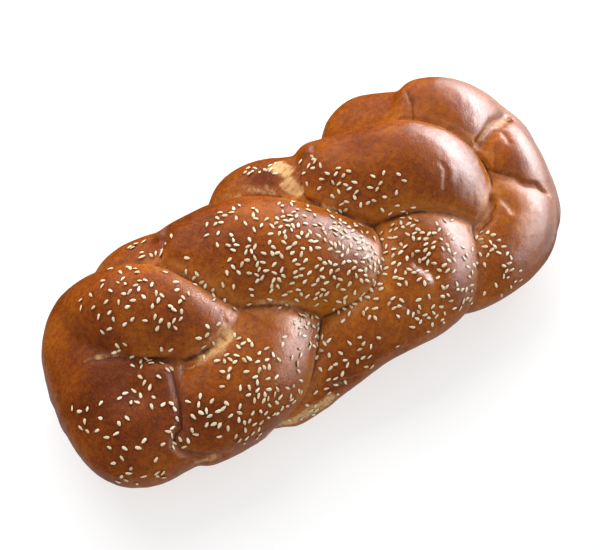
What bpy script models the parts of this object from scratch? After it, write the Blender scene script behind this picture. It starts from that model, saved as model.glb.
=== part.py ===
"""Challah: a plait of three strands of enriched dough, glazed with egg, sprinkled with sesame and baked flat.

The loaf is one piece, with its seeds fused on. +X runs along it, +Y is the plait's left side and +Z is up.
The origin is the middle of the underside. Sizes are in millimetres here, and the mesh is in metres.
"""
import math
import random
from dataclasses import dataclass

import bmesh
import bpy
import numpy as np
from mathutils import Matrix, Vector

MM = 0.001

# Heights and radii that the lobes of one side share
LEFT, RIGHT = 1, -1
PLAIT_Y = -4.5
BOX_MIDDLE = (-2.25, -0.64)
TURN_Z = {LEFT: 31.0, RIGHT: 34.5}
CREST_Z = {LEFT: 54.0, RIGHT: 33.5}
DIVE_Z = {LEFT: 44.5, RIGHT: 30.5}
UNDER_Z = 18.5
TURN_R = {LEFT: 26.5, RIGHT: 25.5}
CREST_R, DIVE_R, UNDER_R = 32.5, 26.5, 21.0
CREST_ALONG = {LEFT: 0.49, RIGHT: 0.57}
CREST_IN = {LEFT: 0.43, RIGHT: 0.755}
UNDER_IN = 0.77
FOOT_FULL = 0.15

# Rows of x, y, z and radius at the two ends of the loaf, and how far the covered strand runs on
NEAR_TIP = (-127.0, -3.0, 30.0, 31.0)
FAR_END = ((118.5, -13.5, 51.0, 25.0), (119.0, -32.5, 29.5, 27.0))
COVERED_START = (-30.0, 45.0, -10.0, -4.0)
COVERED_END = (12.0, -21.0, -18.0, -2.0)

# Folded necks, where a strand rises at the far edge and its crust buckled
RISE_ALONG, RISE_LIFT = 0.6, 4.5
NECK_BEFORE, NECK_AFTER = 16.0, 4.5

# Dough: the strands as tubes, then one skin over them
ROUTE_STEP = 3.0
TUBE_ROUND = 8
END_RINGS = 6
CRUMB_CORE = (122.0, 46.0, 19.0)
CRUMB_CORE_X = 4.0
VOXEL = 3.0
SMOOTH_FACTOR, SMOOTH_ROUNDS = 0.5, 5
SLUMP, SLUMP_BELOW = 10.0, 28.0
GROOVE_DEPTH, GROOVE_WIDTH = 2.5, 5.0
SAME_STRAND = 60.0
MEET_FROM, MEET_FULL = 0.15, 0.7
CRUST_TRIANGLES = 4700
TRAY_CUT = (600.0, 400.0, 200.0)

# Seeds
SEED_LENGTH, SEED_WIDTH, SEED_THICK = 3.1, 1.9, 1.0
SEED_TAPER = 0.35
SEED_SIDES, SEED_RINGS = 5, 3
SEED_PROUD = 0.2
SEED_SPACING = 4.6
SEED_COUNT = 200
RANDOM_SEED = 11

# Crust and its colour
CRUST_COLOUR = (0.376, 0.114, 0.031, 1.0)
CRUST_ROUGHNESS = 0.35


@dataclass(frozen=True)
class Lobe:
    """One bulge of the plait: its strand turns at the edge, crests, and dives under the next at the middle.

    A blunt lobe has a shoulder: a row of x, y, z and radius, as seen from its dive, where it is still full.
    A folded one has a neck, at a share of the way from its turn to its crest, where the strand is pinched.
    One with a foot shows under the lobe before it: its strand lies that much further out where it crosses
    under the plait, and its trail is how much sooner it crosses.
    """

    side: int
    dive: float
    reach: float
    width: float
    drift: float
    lift: float = 0.0
    swell: float = 0.0
    sink: float = 0.0
    neck: float = 0.0
    pinch: float = 0.0
    foot: float = 0.0
    trail: float = 0.0
    shoulder: tuple = ()


LOBES = {
    "near_right": Lobe(RIGHT, dive=-93.5, reach=36.0, width=30.0, drift=1.0, lift=-4.0, swell=-0.5, sink=1.5),
    "near_left": Lobe(LEFT, dive=-71.5, reach=45.5, width=35.0, drift=-8.0, lift=-1.5, swell=-4.5, sink=2.0),
    "second_right": Lobe(RIGHT, dive=-23.0, reach=81.5, width=33.5, drift=2.0, lift=-0.5, swell=1.0,
                         sink=2.0),
    "second_left": Lobe(LEFT, dive=9.5, reach=100.0, width=38.0, drift=-19.5, lift=-2.5, swell=3.0, sink=-2.0,
                        neck=0.38, pinch=2.0, shoulder=(-17.5, 13.0, 6.5, 4.0)),
    "third_right": Lobe(RIGHT, dive=76.0, reach=72.5, width=42.0, drift=5.0, lift=2.5, swell=5.0, sink=2.5,
                        foot=7.0, trail=26.0),
    "third_left": Lobe(LEFT, dive=81.0, reach=89.5, width=48.5, drift=-19.5, lift=2.5, swell=-2.0, sink=-3.0,
                       neck=0.57, pinch=4.5, shoulder=(-10.0, 18.5, 12.5, 5.0)),
    "far_right": Lobe(RIGHT, dive=122.0, reach=49.5, width=47.5, drift=5.0, lift=0.5, swell=1.5, sink=2.0),
    "far_left": Lobe(LEFT, dive=128.0, reach=51.0, width=55.0, drift=7.5, lift=0.5, swell=1.0, sink=3.5,
                     neck=0.6, pinch=4.5),
}
FIRST_STRAND = ("near_right", "second_left", "far_right")
SECOND_STRAND = ("near_left", "third_right", "far_left")
THIRD_STRAND = ("second_right", "third_left")


@dataclass(frozen=True)
class Crease:
    """A dent pressed into the top between two points of the plan."""

    start: tuple
    end: tuple
    width: float
    depth: float


CREASES = (
    Crease((102.0, -8.5), (133.0, -4.0), width=5.0, depth=5.5),
    Crease((37.0, -37.0), (40.5, -50.0), width=5.5, depth=3.5),
    Crease((31.5, -50.0), (36.0, -61.0), width=4.5, depth=2.5),
    Crease((96.5, -42.0), (98.5, -56.0), width=4.0, depth=2.5),
    Crease((74.0, -15.0), (69.0, -24.0), width=3.5, depth=1.5),
)


@dataclass(frozen=True)
class Sprinkle:
    """A patch of seeds on one lobe: its middle in the plan, its radius, and its seeds to the square cm."""

    lobe: str
    x: float
    y: float
    radius: float
    per_cm2: float


SPRINKLES = (
    Sprinkle("near_left", -102.0, 8.0, 30.0, 2.2),
    Sprinkle("near_left", -74.0, -8.0, 14.0, 2.5),
    Sprinkle("near_right", -128.0, -40.0, 26.0, 2.6),
    Sprinkle("second_right", -76.0, -46.0, 30.0, 4.5),
    Sprinkle("second_right", -50.0, -44.0, 14.0, 3.0),
    Sprinkle("second_left", -10.0, -30.0, 26.0, 7.0),
    Sprinkle("second_left", -42.0, -8.0, 32.0, 3.5),
    Sprinkle("third_right", 36.0, -50.0, 34.0, 4.2),
    Sprinkle("third_right", -6.0, -64.0, 26.0, 2.6),
    Sprinkle("third_left", 24.0, 2.0, 24.0, 2.6),
    Sprinkle("far_right", 70.0, -70.0, 22.0, 2.6),
)


def clear_scene():
    """Start from nothing."""
    for item in list(bpy.data.objects):
        bpy.data.objects.remove(item, do_unlink=True)


def new_collection(name):
    """A collection in the scene."""
    made = bpy.data.collections.new(name)
    bpy.context.scene.collection.children.link(made)
    return made


def lobe_rows(lobe):
    """Rows of x, y, z and radius where the lobe's strand turns, rises if it has a neck, crests and dives."""
    side = lobe.side
    turn = np.array([lobe.dive - lobe.reach, side * lobe.width, TURN_Z[side], TURN_R[side]])
    dive = np.array([lobe.dive, lobe.drift, DIVE_Z[side] - lobe.sink, DIVE_R])
    crest = turn + CREST_ALONG[side] * (dive - turn)
    crest[1:] = (turn[1] * CREST_IN[side], CREST_Z[side] + lobe.lift, CREST_R + lobe.swell)
    rise = turn + RISE_ALONG * (crest - turn) + np.array([0.0, 0.0, RISE_LIFT, 0.0])
    rising = [turn, rise, crest] if lobe.neck else [turn, crest]
    return [*rising, dive + np.array(lobe.shoulder), dive] if lobe.shoulder else [*rising, dive]


def underpass_row(before, after):
    """The row where a strand crosses under the plait, between one lobe's dive and its next lobe's turn."""
    middle = 0.5 * (before.dive + after.dive - after.reach) - after.trail
    across = -before.side * before.width * UNDER_IN + after.side * after.foot
    return np.array([middle, across, UNDER_Z, UNDER_R + FOOT_FULL * after.foot])


def strand_stations(names, first_rows, last_rows):
    """The strand's rows in order, each with the name of the lobe that its dough belongs to."""
    stations = [(np.array(row), names[0]) for row in first_rows]
    for name, following in zip(names, names[1:] + (None,)):
        stations += [(row, name) for row in lobe_rows(LOBES[name])]
        if following:
            stations.append((underpass_row(LOBES[name], LOBES[following]), following))
    return stations + [(np.array(row), "far_end") for row in last_rows]


def smooth_route(stations):
    """Rows every ROUTE_STEP on a smooth curve through the stations, and the lobe of each."""
    rows = np.array([row for row, _ in stations])
    lobes = np.array([lobe for _, lobe in stations])
    gaps = np.linalg.norm(np.diff(rows[:, :3], axis=0), axis=1)
    slopes = np.diff(rows, axis=0) / gaps[:, None]
    share = (gaps[:-1] / (gaps[:-1] + gaps[1:]))[:, None]
    tangents = np.empty_like(rows)
    tangents[1:-1] = slopes[:-1] * (1.0 - share) + slopes[1:] * share
    tangents[0] = 2.0 * slopes[0] - tangents[1]
    tangents[-1] = 2.0 * slopes[-1] - tangents[-2]
    marks = np.concatenate([[0.0], np.cumsum(gaps)])
    along = np.linspace(0.0, marks[-1], int(marks[-1] / ROUTE_STEP) + 1)
    i = np.clip(np.searchsorted(marks, along, side="right") - 1, 0, len(gaps) - 1)
    gap = gaps[i][:, None]
    u = (along - marks[i])[:, None] / gap
    route = (rows[i] * (2 * u**3 - 3 * u**2 + 1) + tangents[i] * gap * (u**3 - 2 * u**2 + u)
             + rows[i + 1] * (3 * u**2 - 2 * u**3) + tangents[i + 1] * gap * (u**3 - u**2))
    return route, lobes[i + 1]


def pinch_necks(route, names):
    """Thin the strand as it rises to each folded neck, so that the lobe bulges out past it."""
    for lobe in (LOBES[name] for name in names):
        if lobe.neck:
            turn, _, crest = lobe_rows(lobe)[:3]
            neck = turn + lobe.neck * (crest - turn)
            nearest = np.linalg.norm(route[:, :3] - neck[:3], axis=1).argmin()
            away = (np.arange(len(route)) - nearest) * ROUTE_STEP
            width = np.where(away < 0.0, NECK_BEFORE, NECK_AFTER)
            route[:, 3] -= lobe.pinch * np.exp(-((away / width) ** 2))


def rounded_end(last, before):
    """Rows that carry on past the last one as half a ball."""
    heading = (last[:3] - before[:3]) / np.linalg.norm(last[:3] - before[:3])
    angles = np.linspace(0.0, 0.5 * math.pi, END_RINGS + 1)[1:-1]
    return [np.array([*(last[:3] + heading * last[3] * math.sin(a)), last[3] * math.cos(a)]) for a in angles]


def make_strands():
    """The three strands: for each its route, and the lobe of each row."""
    second_right, third_left = lobe_rows(LOBES["second_right"]), lobe_rows(LOBES["third_left"])
    plans = (
        (FIRST_STRAND, (NEAR_TIP,), ()),
        (SECOND_STRAND, (NEAR_TIP,), FAR_END),
        (THIRD_STRAND, (second_right[0] + COVERED_START,), (third_left[-1] + COVERED_END,)),
    )
    strands = []
    for names, first_rows, last_rows in plans:
        route, lobes = smooth_route(strand_stations(names, first_rows, last_rows))
        pinch_necks(route, names)
        route[:, 1] += PLAIT_Y
        strands.append((route, lobes))
    return strands


def tube_mesh(name, route, guides):
    """A strand as a closed tube of varying radius, made as a curve and taken as a mesh."""
    rows = [*reversed(rounded_end(route[0], route[1])), *route, *rounded_end(route[-1], route[-2])]
    curve = bpy.data.curves.new(name, "CURVE")
    curve.dimensions = "3D"
    curve.bevel_depth = MM
    curve.bevel_resolution = TUBE_ROUND
    curve.use_fill_caps = True
    spline = curve.splines.new("POLY")
    spline.points.add(len(rows) - 1)
    for point, (x, y, z, radius) in zip(spline.points, rows):
        point.co = (x * MM, y * MM, z * MM, 1.0)
        point.radius = radius
    guide = bpy.data.objects.new(name, curve)
    guides.objects.link(guide)
    mesh = bpy.data.meshes.new_from_object(guide.evaluated_get(bpy.context.evaluated_depsgraph_get()))
    bpy.data.objects.remove(guide, do_unlink=True)
    return mesh


def knead(strands, guides, parts):
    """One mesh of the three tubes and the crumb between them, with a single skin drawn over it."""
    dough = bmesh.new()
    for number, (route, _) in enumerate(strands):
        mesh = tube_mesh(f"strand_{number}", route, guides)
        dough.from_mesh(mesh)
        bpy.data.meshes.remove(mesh)
    bmesh.ops.remove_doubles(dough, verts=dough.verts, dist=1e-6)
    length, width, height = CRUMB_CORE
    place = Matrix.Translation((CRUMB_CORE_X * MM, PLAIT_Y * MM, height * MM))
    size = Matrix.Diagonal((length * MM, width * MM, height * MM, 1.0))
    bmesh.ops.create_uvsphere(dough, u_segments=48, v_segments=24, radius=1.0, matrix=place @ size)
    mesh = bpy.data.meshes.new("loaf")
    dough.to_mesh(mesh)
    dough.free()
    loaf = bpy.data.objects.new("loaf", mesh)
    parts.objects.link(loaf)
    skin = loaf.modifiers.new("Skin", "REMESH")
    skin.mode = "VOXEL"
    skin.voxel_size = VOXEL * MM
    soften = loaf.modifiers.new("Soften", "SMOOTH")
    soften.factor = SMOOTH_FACTOR
    soften.iterations = SMOOTH_ROUNDS
    apply_modifiers(loaf)
    return loaf


def apply_modifiers(item):
    """Keep the object's evaluated shape as its mesh."""
    shaped = bpy.data.meshes.new_from_object(item.evaluated_get(bpy.context.evaluated_depsgraph_get()))
    old = item.data
    item.modifiers.clear()
    item.data = shaped
    bpy.data.meshes.remove(old)
    shaped.name = item.name


def read_vertices(mesh):
    """Positions in millimetres and normals of a mesh's vertices."""
    places, normals = np.empty(len(mesh.vertices) * 3), np.empty(len(mesh.vertices) * 3)
    mesh.vertices.foreach_get("co", places)
    mesh.vertices.foreach_get("normal", normals)
    return places.reshape(-1, 3) / MM, normals.reshape(-1, 3)


def write_vertices(mesh, places):
    """Put positions in millimetres back on a mesh."""
    mesh.vertices.foreach_set("co", (places * MM).ravel())
    mesh.update()


def meeting_strands(places, strands):
    """For each place: its nearest row, how much further off the next dough is, and how far round it faces."""
    rows = np.concatenate([route for route, _ in strands])
    strand = np.concatenate([np.full(len(route), k) for k, (route, _) in enumerate(strands)])
    along = np.concatenate([np.arange(len(route)) * ROUTE_STEP for route, _ in strands])
    offsets = places[:, None, :] - rows[None, :, :3]
    lengths = np.linalg.norm(offsets, axis=2)
    depths = lengths - rows[:, 3]
    nearest = depths.argmin(axis=1)
    same = (strand == strand[nearest][:, None]) & (np.abs(along - along[nearest][:, None]) < SAME_STRAND)
    others = np.where(same, np.inf, depths)
    second = others.argmin(axis=1)
    index = np.arange(len(places))
    one = offsets[index, nearest] / lengths[index, nearest][:, None]
    two = offsets[index, second] / lengths[index, second][:, None]
    return nearest, others[index, second] - depths[index, nearest], (one * two).sum(axis=1)


def press_seams(mesh, strands):
    """Deepen the valleys where two strands meet at an angle."""
    places, normals = read_vertices(mesh)
    _, gap, facing = meeting_strands(places, strands)
    angled = np.clip((1.0 - facing - MEET_FROM) / (MEET_FULL - MEET_FROM), 0.0, 1.0)
    push = GROOVE_DEPTH * angled * np.exp(-(gap / GROOVE_WIDTH) ** 2)
    write_vertices(mesh, places - normals * push[:, None])


def press_creases(mesh):
    """Press the named dents into the top."""
    places, normals = read_vertices(mesh)
    upward = np.clip(normals[:, 2] * 2.0, 0.0, 1.0)
    for crease in CREASES:
        start, end = np.array(crease.start), np.array(crease.end)
        run = end - start
        share = np.clip(((places[:, :2] - start) @ run) / (run @ run), 0.0, 1.0)
        away = np.linalg.norm(places[:, :2] - start - share[:, None] * run, axis=1)
        push = crease.depth * upward * np.exp(-(away / crease.width) ** 2)
        places = places - normals * push[:, None]
    write_vertices(mesh, places)


def slump(mesh):
    """Let the dough settle on its tray."""
    places, _ = read_vertices(mesh)
    low = np.clip(1.0 - places[:, 2] / SLUMP_BELOW, 0.0, 1.5)
    places[:, 2] -= SLUMP * low**2
    write_vertices(mesh, places)


def thin_out(loaf):
    """Fewer triangles, most of them where the crust bends."""
    loaf.data.calc_loop_triangles()
    decimate = loaf.modifiers.new("Decimate", "DECIMATE")
    decimate.ratio = CRUST_TRIANGLES / len(loaf.data.loop_triangles)
    apply_modifiers(loaf)


def cut_sole(loaf, cutters):
    """Cut the underside flat where it lay on the tray."""
    block = bpy.data.meshes.new("tray_cut")
    box = bmesh.new()
    length, width, height = TRAY_CUT
    size = Matrix.Diagonal((length * MM, width * MM, height * MM, 1.0))
    below = Matrix.Translation((0.0, 0.0, -0.5 * height * MM))
    bmesh.ops.create_cube(box, size=1.0, matrix=below @ size)
    box.to_mesh(block)
    box.free()
    cutter = bpy.data.objects.new("tray_cut", block)
    cutter.hide_render = True
    cutter.display_type = "WIRE"
    cutters.objects.link(cutter)
    cut = loaf.modifiers.new("Sole", "BOOLEAN")
    cut.operation = "DIFFERENCE"
    cut.object = cutter
    apply_modifiers(loaf)


def seed_shape():
    """A sesame seed lying along X, flat, and pointed at one end."""
    mesh = bpy.data.meshes.new("sesame_seed")
    seed = bmesh.new()
    turned = Matrix.Rotation(math.pi / 2, 4, "Y")
    bmesh.ops.create_uvsphere(seed, u_segments=SEED_SIDES, v_segments=SEED_RINGS, radius=0.5, matrix=turned)
    for vertex in seed.verts:
        x, y, z = vertex.co
        narrow = 1.0 - SEED_TAPER * (x + 0.5)
        vertex.co = (x * SEED_LENGTH * MM, y * SEED_WIDTH * narrow * MM, z * SEED_THICK * narrow * MM)
    bmesh.ops.recalc_face_normals(seed, faces=seed.faces)
    seed.to_mesh(mesh)
    seed.free()
    return mesh


def seed_density(place, lobe):
    """Seeds to the square centimetre at a place on a lobe."""
    total = 0.0
    for patch in SPRINKLES:
        if patch.lobe == lobe:
            away = math.hypot(place.x / MM - patch.x, place.y / MM - patch.y)
            total += patch.per_cm2 * math.exp(-((away / patch.radius) ** 2))
    return total


def seed_places(loaf, strands, draw):
    """Places and normals of the seeds, thicker where the baker's hand passed, never touching each other."""
    mesh = loaf.data
    mesh.calc_loop_triangles()
    triangles = [[mesh.vertices[i].co.copy() for i in t.vertices] for t in mesh.loop_triangles]
    facing = [t.normal.copy() for t in mesh.loop_triangles]
    areas = [t.area for t in mesh.loop_triangles]
    middles = np.array([sum(corners, Vector()) / 3 for corners in triangles]) / MM
    nearest, _, _ = meeting_strands(middles, strands)
    owners = np.concatenate([lobes for _, lobes in strands])[nearest]
    weights = []
    for corners, owner, area, normal in zip(triangles, owners, areas, facing):
        up = max(0.0, min(1.0, 2.0 * normal.z + 0.4))
        weights.append(area * up * seed_density(sum(corners, Vector()) / 3, owner))
    taken = []
    for chosen in draw.choices(range(len(triangles)), weights, k=SEED_COUNT * 40):
        a, b, c = triangles[chosen]
        u, v = sorted((draw.random(), draw.random()))
        place = a * u + b * (v - u) + c * (1.0 - v)
        if all((place - other).length > SEED_SPACING * MM for other, _ in taken):
            taken.append((place, facing[chosen]))
        if len(taken) == SEED_COUNT:
            break
    return taken


def scatter_seeds(loaf, strands, seeds):
    """Lay the seeds flat on the crust, each at its own turn."""
    draw = random.Random(RANDOM_SEED)
    shape = seed_shape()
    for number, (place, normal) in enumerate(seed_places(loaf, strands, draw)):
        seed = bpy.data.objects.new(f"seed_{number:03d}", shape)
        spin = Matrix.Rotation(draw.uniform(0.0, 2.0 * math.pi), 4, "Z")
        laid = normal.to_track_quat("Z", "Y").to_matrix().to_4x4()
        seed.matrix_world = Matrix.Translation(place + normal * SEED_PROUD * MM) @ laid @ spin
        seeds.objects.link(seed)
    return shape


def fuse_seeds(loaf, seeds, shape):
    """Join the seeds to the crust as one body."""
    bpy.context.view_layer.update()
    join = loaf.modifiers.new("Seeds", "BOOLEAN")
    join.operation = "UNION"
    join.operand_type = "COLLECTION"
    join.solver = "MANIFOLD"
    join.collection = seeds
    apply_modifiers(loaf)
    for item in list(seeds.objects):
        bpy.data.objects.remove(item, do_unlink=True)
    bpy.data.collections.remove(seeds)
    bpy.data.meshes.remove(shape)


def centre(loaf):
    """Move the middle of the loaf's box onto the origin."""
    x, y = BOX_MIDDLE
    loaf.data.transform(Matrix.Translation((-x * MM, -y * MM, 0.0)))


def crust_material():
    """Egg-glazed crust."""
    material = bpy.data.materials.new("crust")
    material.use_nodes = True
    shader = material.node_tree.nodes["Principled BSDF"]
    shader.inputs["Base Color"].default_value = CRUST_COLOUR
    shader.inputs["Roughness"].default_value = CRUST_ROUGHNESS
    shader.inputs["Metallic"].default_value = 0.0
    return material


def main():
    """Plait, prove, press, bake flat and sprinkle the loaf."""
    clear_scene()
    parts = new_collection("challah")
    guides = new_collection("guides")
    cutters = new_collection("cutters")
    seeds = new_collection("seeds")
    strands = make_strands()
    loaf = knead(strands, guides, parts)
    press_seams(loaf.data, strands)
    press_creases(loaf.data)
    slump(loaf.data)
    thin_out(loaf)
    cut_sole(loaf, cutters)
    shape = scatter_seeds(loaf, strands, seeds)
    fuse_seeds(loaf, seeds, shape)
    centre(loaf)
    loaf.data.materials.append(crust_material())


main()
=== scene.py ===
"""A challah: three strands of enriched dough, plaited, glazed with egg, sprinkled with sesame and baked flat.

The crust is one skin over the three strands, with its seams, folds and tears pressed into it. The seeds are
one piece. Places are in millimetres in the loaf's own frame: +X runs along the loaf, +Y is the plait's left
side, +Z is up, and the origin is the middle of the underside.
"""
from __future__ import annotations

import logging
import math
from dataclasses import dataclass, field, replace
from enum import Enum
from typing import Union

import bmesh
import bpy
import numpy as np
from mathutils import Matrix, Vector, noise
from mathutils.kdtree import KDTree

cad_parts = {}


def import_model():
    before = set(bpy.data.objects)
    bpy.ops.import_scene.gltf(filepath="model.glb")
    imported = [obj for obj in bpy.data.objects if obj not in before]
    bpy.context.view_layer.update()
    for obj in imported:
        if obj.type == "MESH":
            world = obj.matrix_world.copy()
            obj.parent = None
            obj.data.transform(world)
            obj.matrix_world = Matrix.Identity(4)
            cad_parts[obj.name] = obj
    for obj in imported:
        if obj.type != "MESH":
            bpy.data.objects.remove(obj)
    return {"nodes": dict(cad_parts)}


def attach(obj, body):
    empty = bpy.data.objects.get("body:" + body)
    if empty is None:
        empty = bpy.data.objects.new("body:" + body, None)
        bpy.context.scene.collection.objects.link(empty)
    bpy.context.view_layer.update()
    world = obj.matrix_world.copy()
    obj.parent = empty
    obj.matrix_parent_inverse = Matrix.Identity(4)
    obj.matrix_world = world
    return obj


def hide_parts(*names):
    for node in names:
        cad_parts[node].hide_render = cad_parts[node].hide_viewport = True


MM = 0.001
SQUARE_MM_TO_A_CM = 100.0
NODE = "loaf"
BODY = "root"

# How far from a line its marks can reach, and the distance that stands for any further than that.
LINE_REACH = 36.0
FAR_AWAY = 1000.0
# A draped line has a point at about every step, each in the middle of this many places of the crust.
DRAPE_STEP = 5.0
DRAPE_COUNT = 8
# Noise stays within about 0.6 of nothing, and this takes it to about 1.
NOISE_GAIN = 1.6
# A hair's breadth, which keeps a line that doesn't fade at its end from a rise of no length.
HAIR = 0.01

Point = tuple[float, float, float]
Colour = tuple[float, float, float]
Paint = tuple[float, float, float, float]
Value = Union[bpy.types.NodeSocket, float, tuple[float, ...]]

log = logging.getLogger("challah")


def srgb(red: int, green: int, blue: int) -> Paint:
    """Turn a colour as the eye reads it into the linear values that a shader takes.

    Args:
        red: Its red, out of 255.
        green: Its green, out of 255.
        blue: Its blue, out of 255.

    Returns:
        The linear colour, opaque.
    """
    shares = (red / 255.0, green / 255.0, blue / 255.0)
    linear = [s / 12.92 if s <= 0.04045 else ((s + 0.055) / 1.055) ** 2.4 for s in shares]
    return (linear[0], linear[1], linear[2], 1.0)


def smoothstep(low: float, high: float, value: np.ndarray) -> np.ndarray:
    """Rise smoothly from 0 at low to 1 at high.

    Args:
        low: Where the rise starts.
        high: Where it ends. It may be below low, for a fall.
        value: The values to look at.

    Returns:
        An array of the same shape, from 0 to 1.
    """
    share = np.clip((value - low) / (high - low), 0.0, 1.0)
    return share * share * (3.0 - 2.0 * share)


def bell(away: np.ndarray, width: float) -> np.ndarray:
    """Fall smoothly from 1 at no distance to a third at the width and almost nothing at twice that."""
    return np.exp(-((away / width) ** 2))


def ripples(places: np.ndarray, wavelength: float, seed: float) -> np.ndarray:
    """Smooth random heights, about -1 to 1.

    Args:
        places: Places in millimetres, one row each.
        wavelength: Rough distance between two bumps, in millimetres.
        seed: Shift that makes one pattern differ from another.

    Returns:
        One height for each place.
    """
    shift = Vector((seed, 2.0 * seed, -seed))
    return np.array([noise.noise(Vector(place) / wavelength + shift) for place in places]) * NOISE_GAIN


class Side(Enum):
    """The edge of the plait where a lobe's strand turns."""

    LEFT = 1
    RIGHT = -1


@dataclass(frozen=True)
class Heights:
    """Height and radius of a strand at its turn, crest and dive, on one side of the plait."""

    turn_z: float
    crest_z: float
    dive_z: float
    crest_along: float
    crest_in: float
    turn_r: float
    crest_r: float = 32.5
    dive_r: float = 26.5


HEIGHTS = {
    Side.LEFT: Heights(
        turn_z=31.0, crest_z=54.0, dive_z=44.5, crest_along=0.49, crest_in=0.43, turn_r=26.5),
    Side.RIGHT: Heights(
        turn_z=34.5, crest_z=33.5, dive_z=30.5, crest_along=0.57, crest_in=0.755, turn_r=25.5),
}
# A folded lobe's strand rises this far along from its turn to its crest, and stands this much higher there.
RISE_ALONG = 0.6
RISE_LIFT = 4.5


@dataclass(frozen=True)
class Lobe:
    """One bulge of the plait: its strand turns at the edge, crests, and dives under the next at the middle.

    A blunt lobe has a shoulder: a row of x, y, z and radius, as seen from its dive, where it is still full.
    A folded one has a neck, where its strand is pinched as it rises. One with a foot shows under the lobe
    before it: its strand lies that much further out where it crosses under the plait, and crosses a trail
    sooner.
    """

    side: Side
    dive: float
    reach: float
    width: float
    drift: float
    lift: float = 0.0
    swell: float = 0.0
    sink: float = 0.0
    neck: float = 0.0
    pinch: float = 0.0
    foot: float = 0.0
    trail: float = 0.0
    shoulder: tuple[float, ...] = ()

    def rows(self) -> list[np.ndarray]:
        """Set out the lobe's stretch of its strand.

        Returns:
            Rows of x, y, z and radius at the turn, the rise where there is one, the crest and the dive.
        """
        level, sign = HEIGHTS[self.side], self.side.value
        turn = np.array([self.dive - self.reach, sign * self.width, level.turn_z, level.turn_r])
        dive = np.array([self.dive, self.drift, level.dive_z - self.sink, level.dive_r])
        crest = turn + level.crest_along * (dive - turn)
        crest[1:] = (turn[1] * level.crest_in, level.crest_z + self.lift, level.crest_r + self.swell)
        rise = turn + RISE_ALONG * (crest - turn) + np.array([0.0, 0.0, RISE_LIFT, 0.0])
        rising = [turn, rise, crest] if self.neck else [turn, crest]
        return [*rising, dive + np.array(self.shoulder), dive] if self.shoulder else [*rising, dive]

    def neck_place(self) -> np.ndarray:
        """Where the strand's crust buckled as it rose."""
        rows = self.rows()
        return (rows[0] + self.neck * (rows[2] - rows[0]))[:3]


LOBES = {
    "near_right": Lobe(
        Side.RIGHT, dive=-93.5, reach=36.0, width=30.0, drift=1.0, lift=-4.0, swell=-0.5, sink=1.5),
    "near_left": Lobe(
        Side.LEFT, dive=-71.5, reach=45.5, width=35.0, drift=-8.0, lift=-1.5, swell=-4.5, sink=2.0),
    "second_right": Lobe(
        Side.RIGHT, dive=-23.0, reach=81.5, width=33.5, drift=2.0, lift=-0.5, swell=1.0, sink=2.0),
    "second_left": Lobe(
        Side.LEFT, dive=9.5, reach=100.0, width=38.0, drift=-19.5, lift=-2.5, swell=3.0, sink=-2.0,
        neck=0.38, pinch=2.0, shoulder=(-17.5, 13.0, 6.5, 4.0)),
    "third_right": Lobe(
        Side.RIGHT, dive=76.0, reach=72.5, width=42.0, drift=5.0, lift=2.5, swell=5.0, sink=2.5, foot=7.0,
        trail=26.0),
    "third_left": Lobe(
        Side.LEFT, dive=81.0, reach=89.5, width=48.5, drift=-19.5, lift=2.5, swell=-2.0, sink=-3.0,
        neck=0.57, pinch=4.5, shoulder=(-10.0, 18.5, 12.5, 5.0)),
    "far_right": Lobe(
        Side.RIGHT, dive=122.0, reach=49.5, width=47.5, drift=5.0, lift=0.5, swell=1.5, sink=2.0),
    "far_left": Lobe(
        Side.LEFT, dive=128.0, reach=51.0, width=55.0, drift=7.5, lift=0.5, swell=1.0, sink=3.5, neck=0.6,
        pinch=4.5),
}
FAR_LOBE = "far_end"
LOBE_NAMES = (*LOBES, FAR_LOBE)


@dataclass(frozen=True)
class Route:
    """A strand's way through the plait: rows of x, y, z and radius, and the number of each row's lobe."""

    rows: np.ndarray
    lobes: np.ndarray


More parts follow.
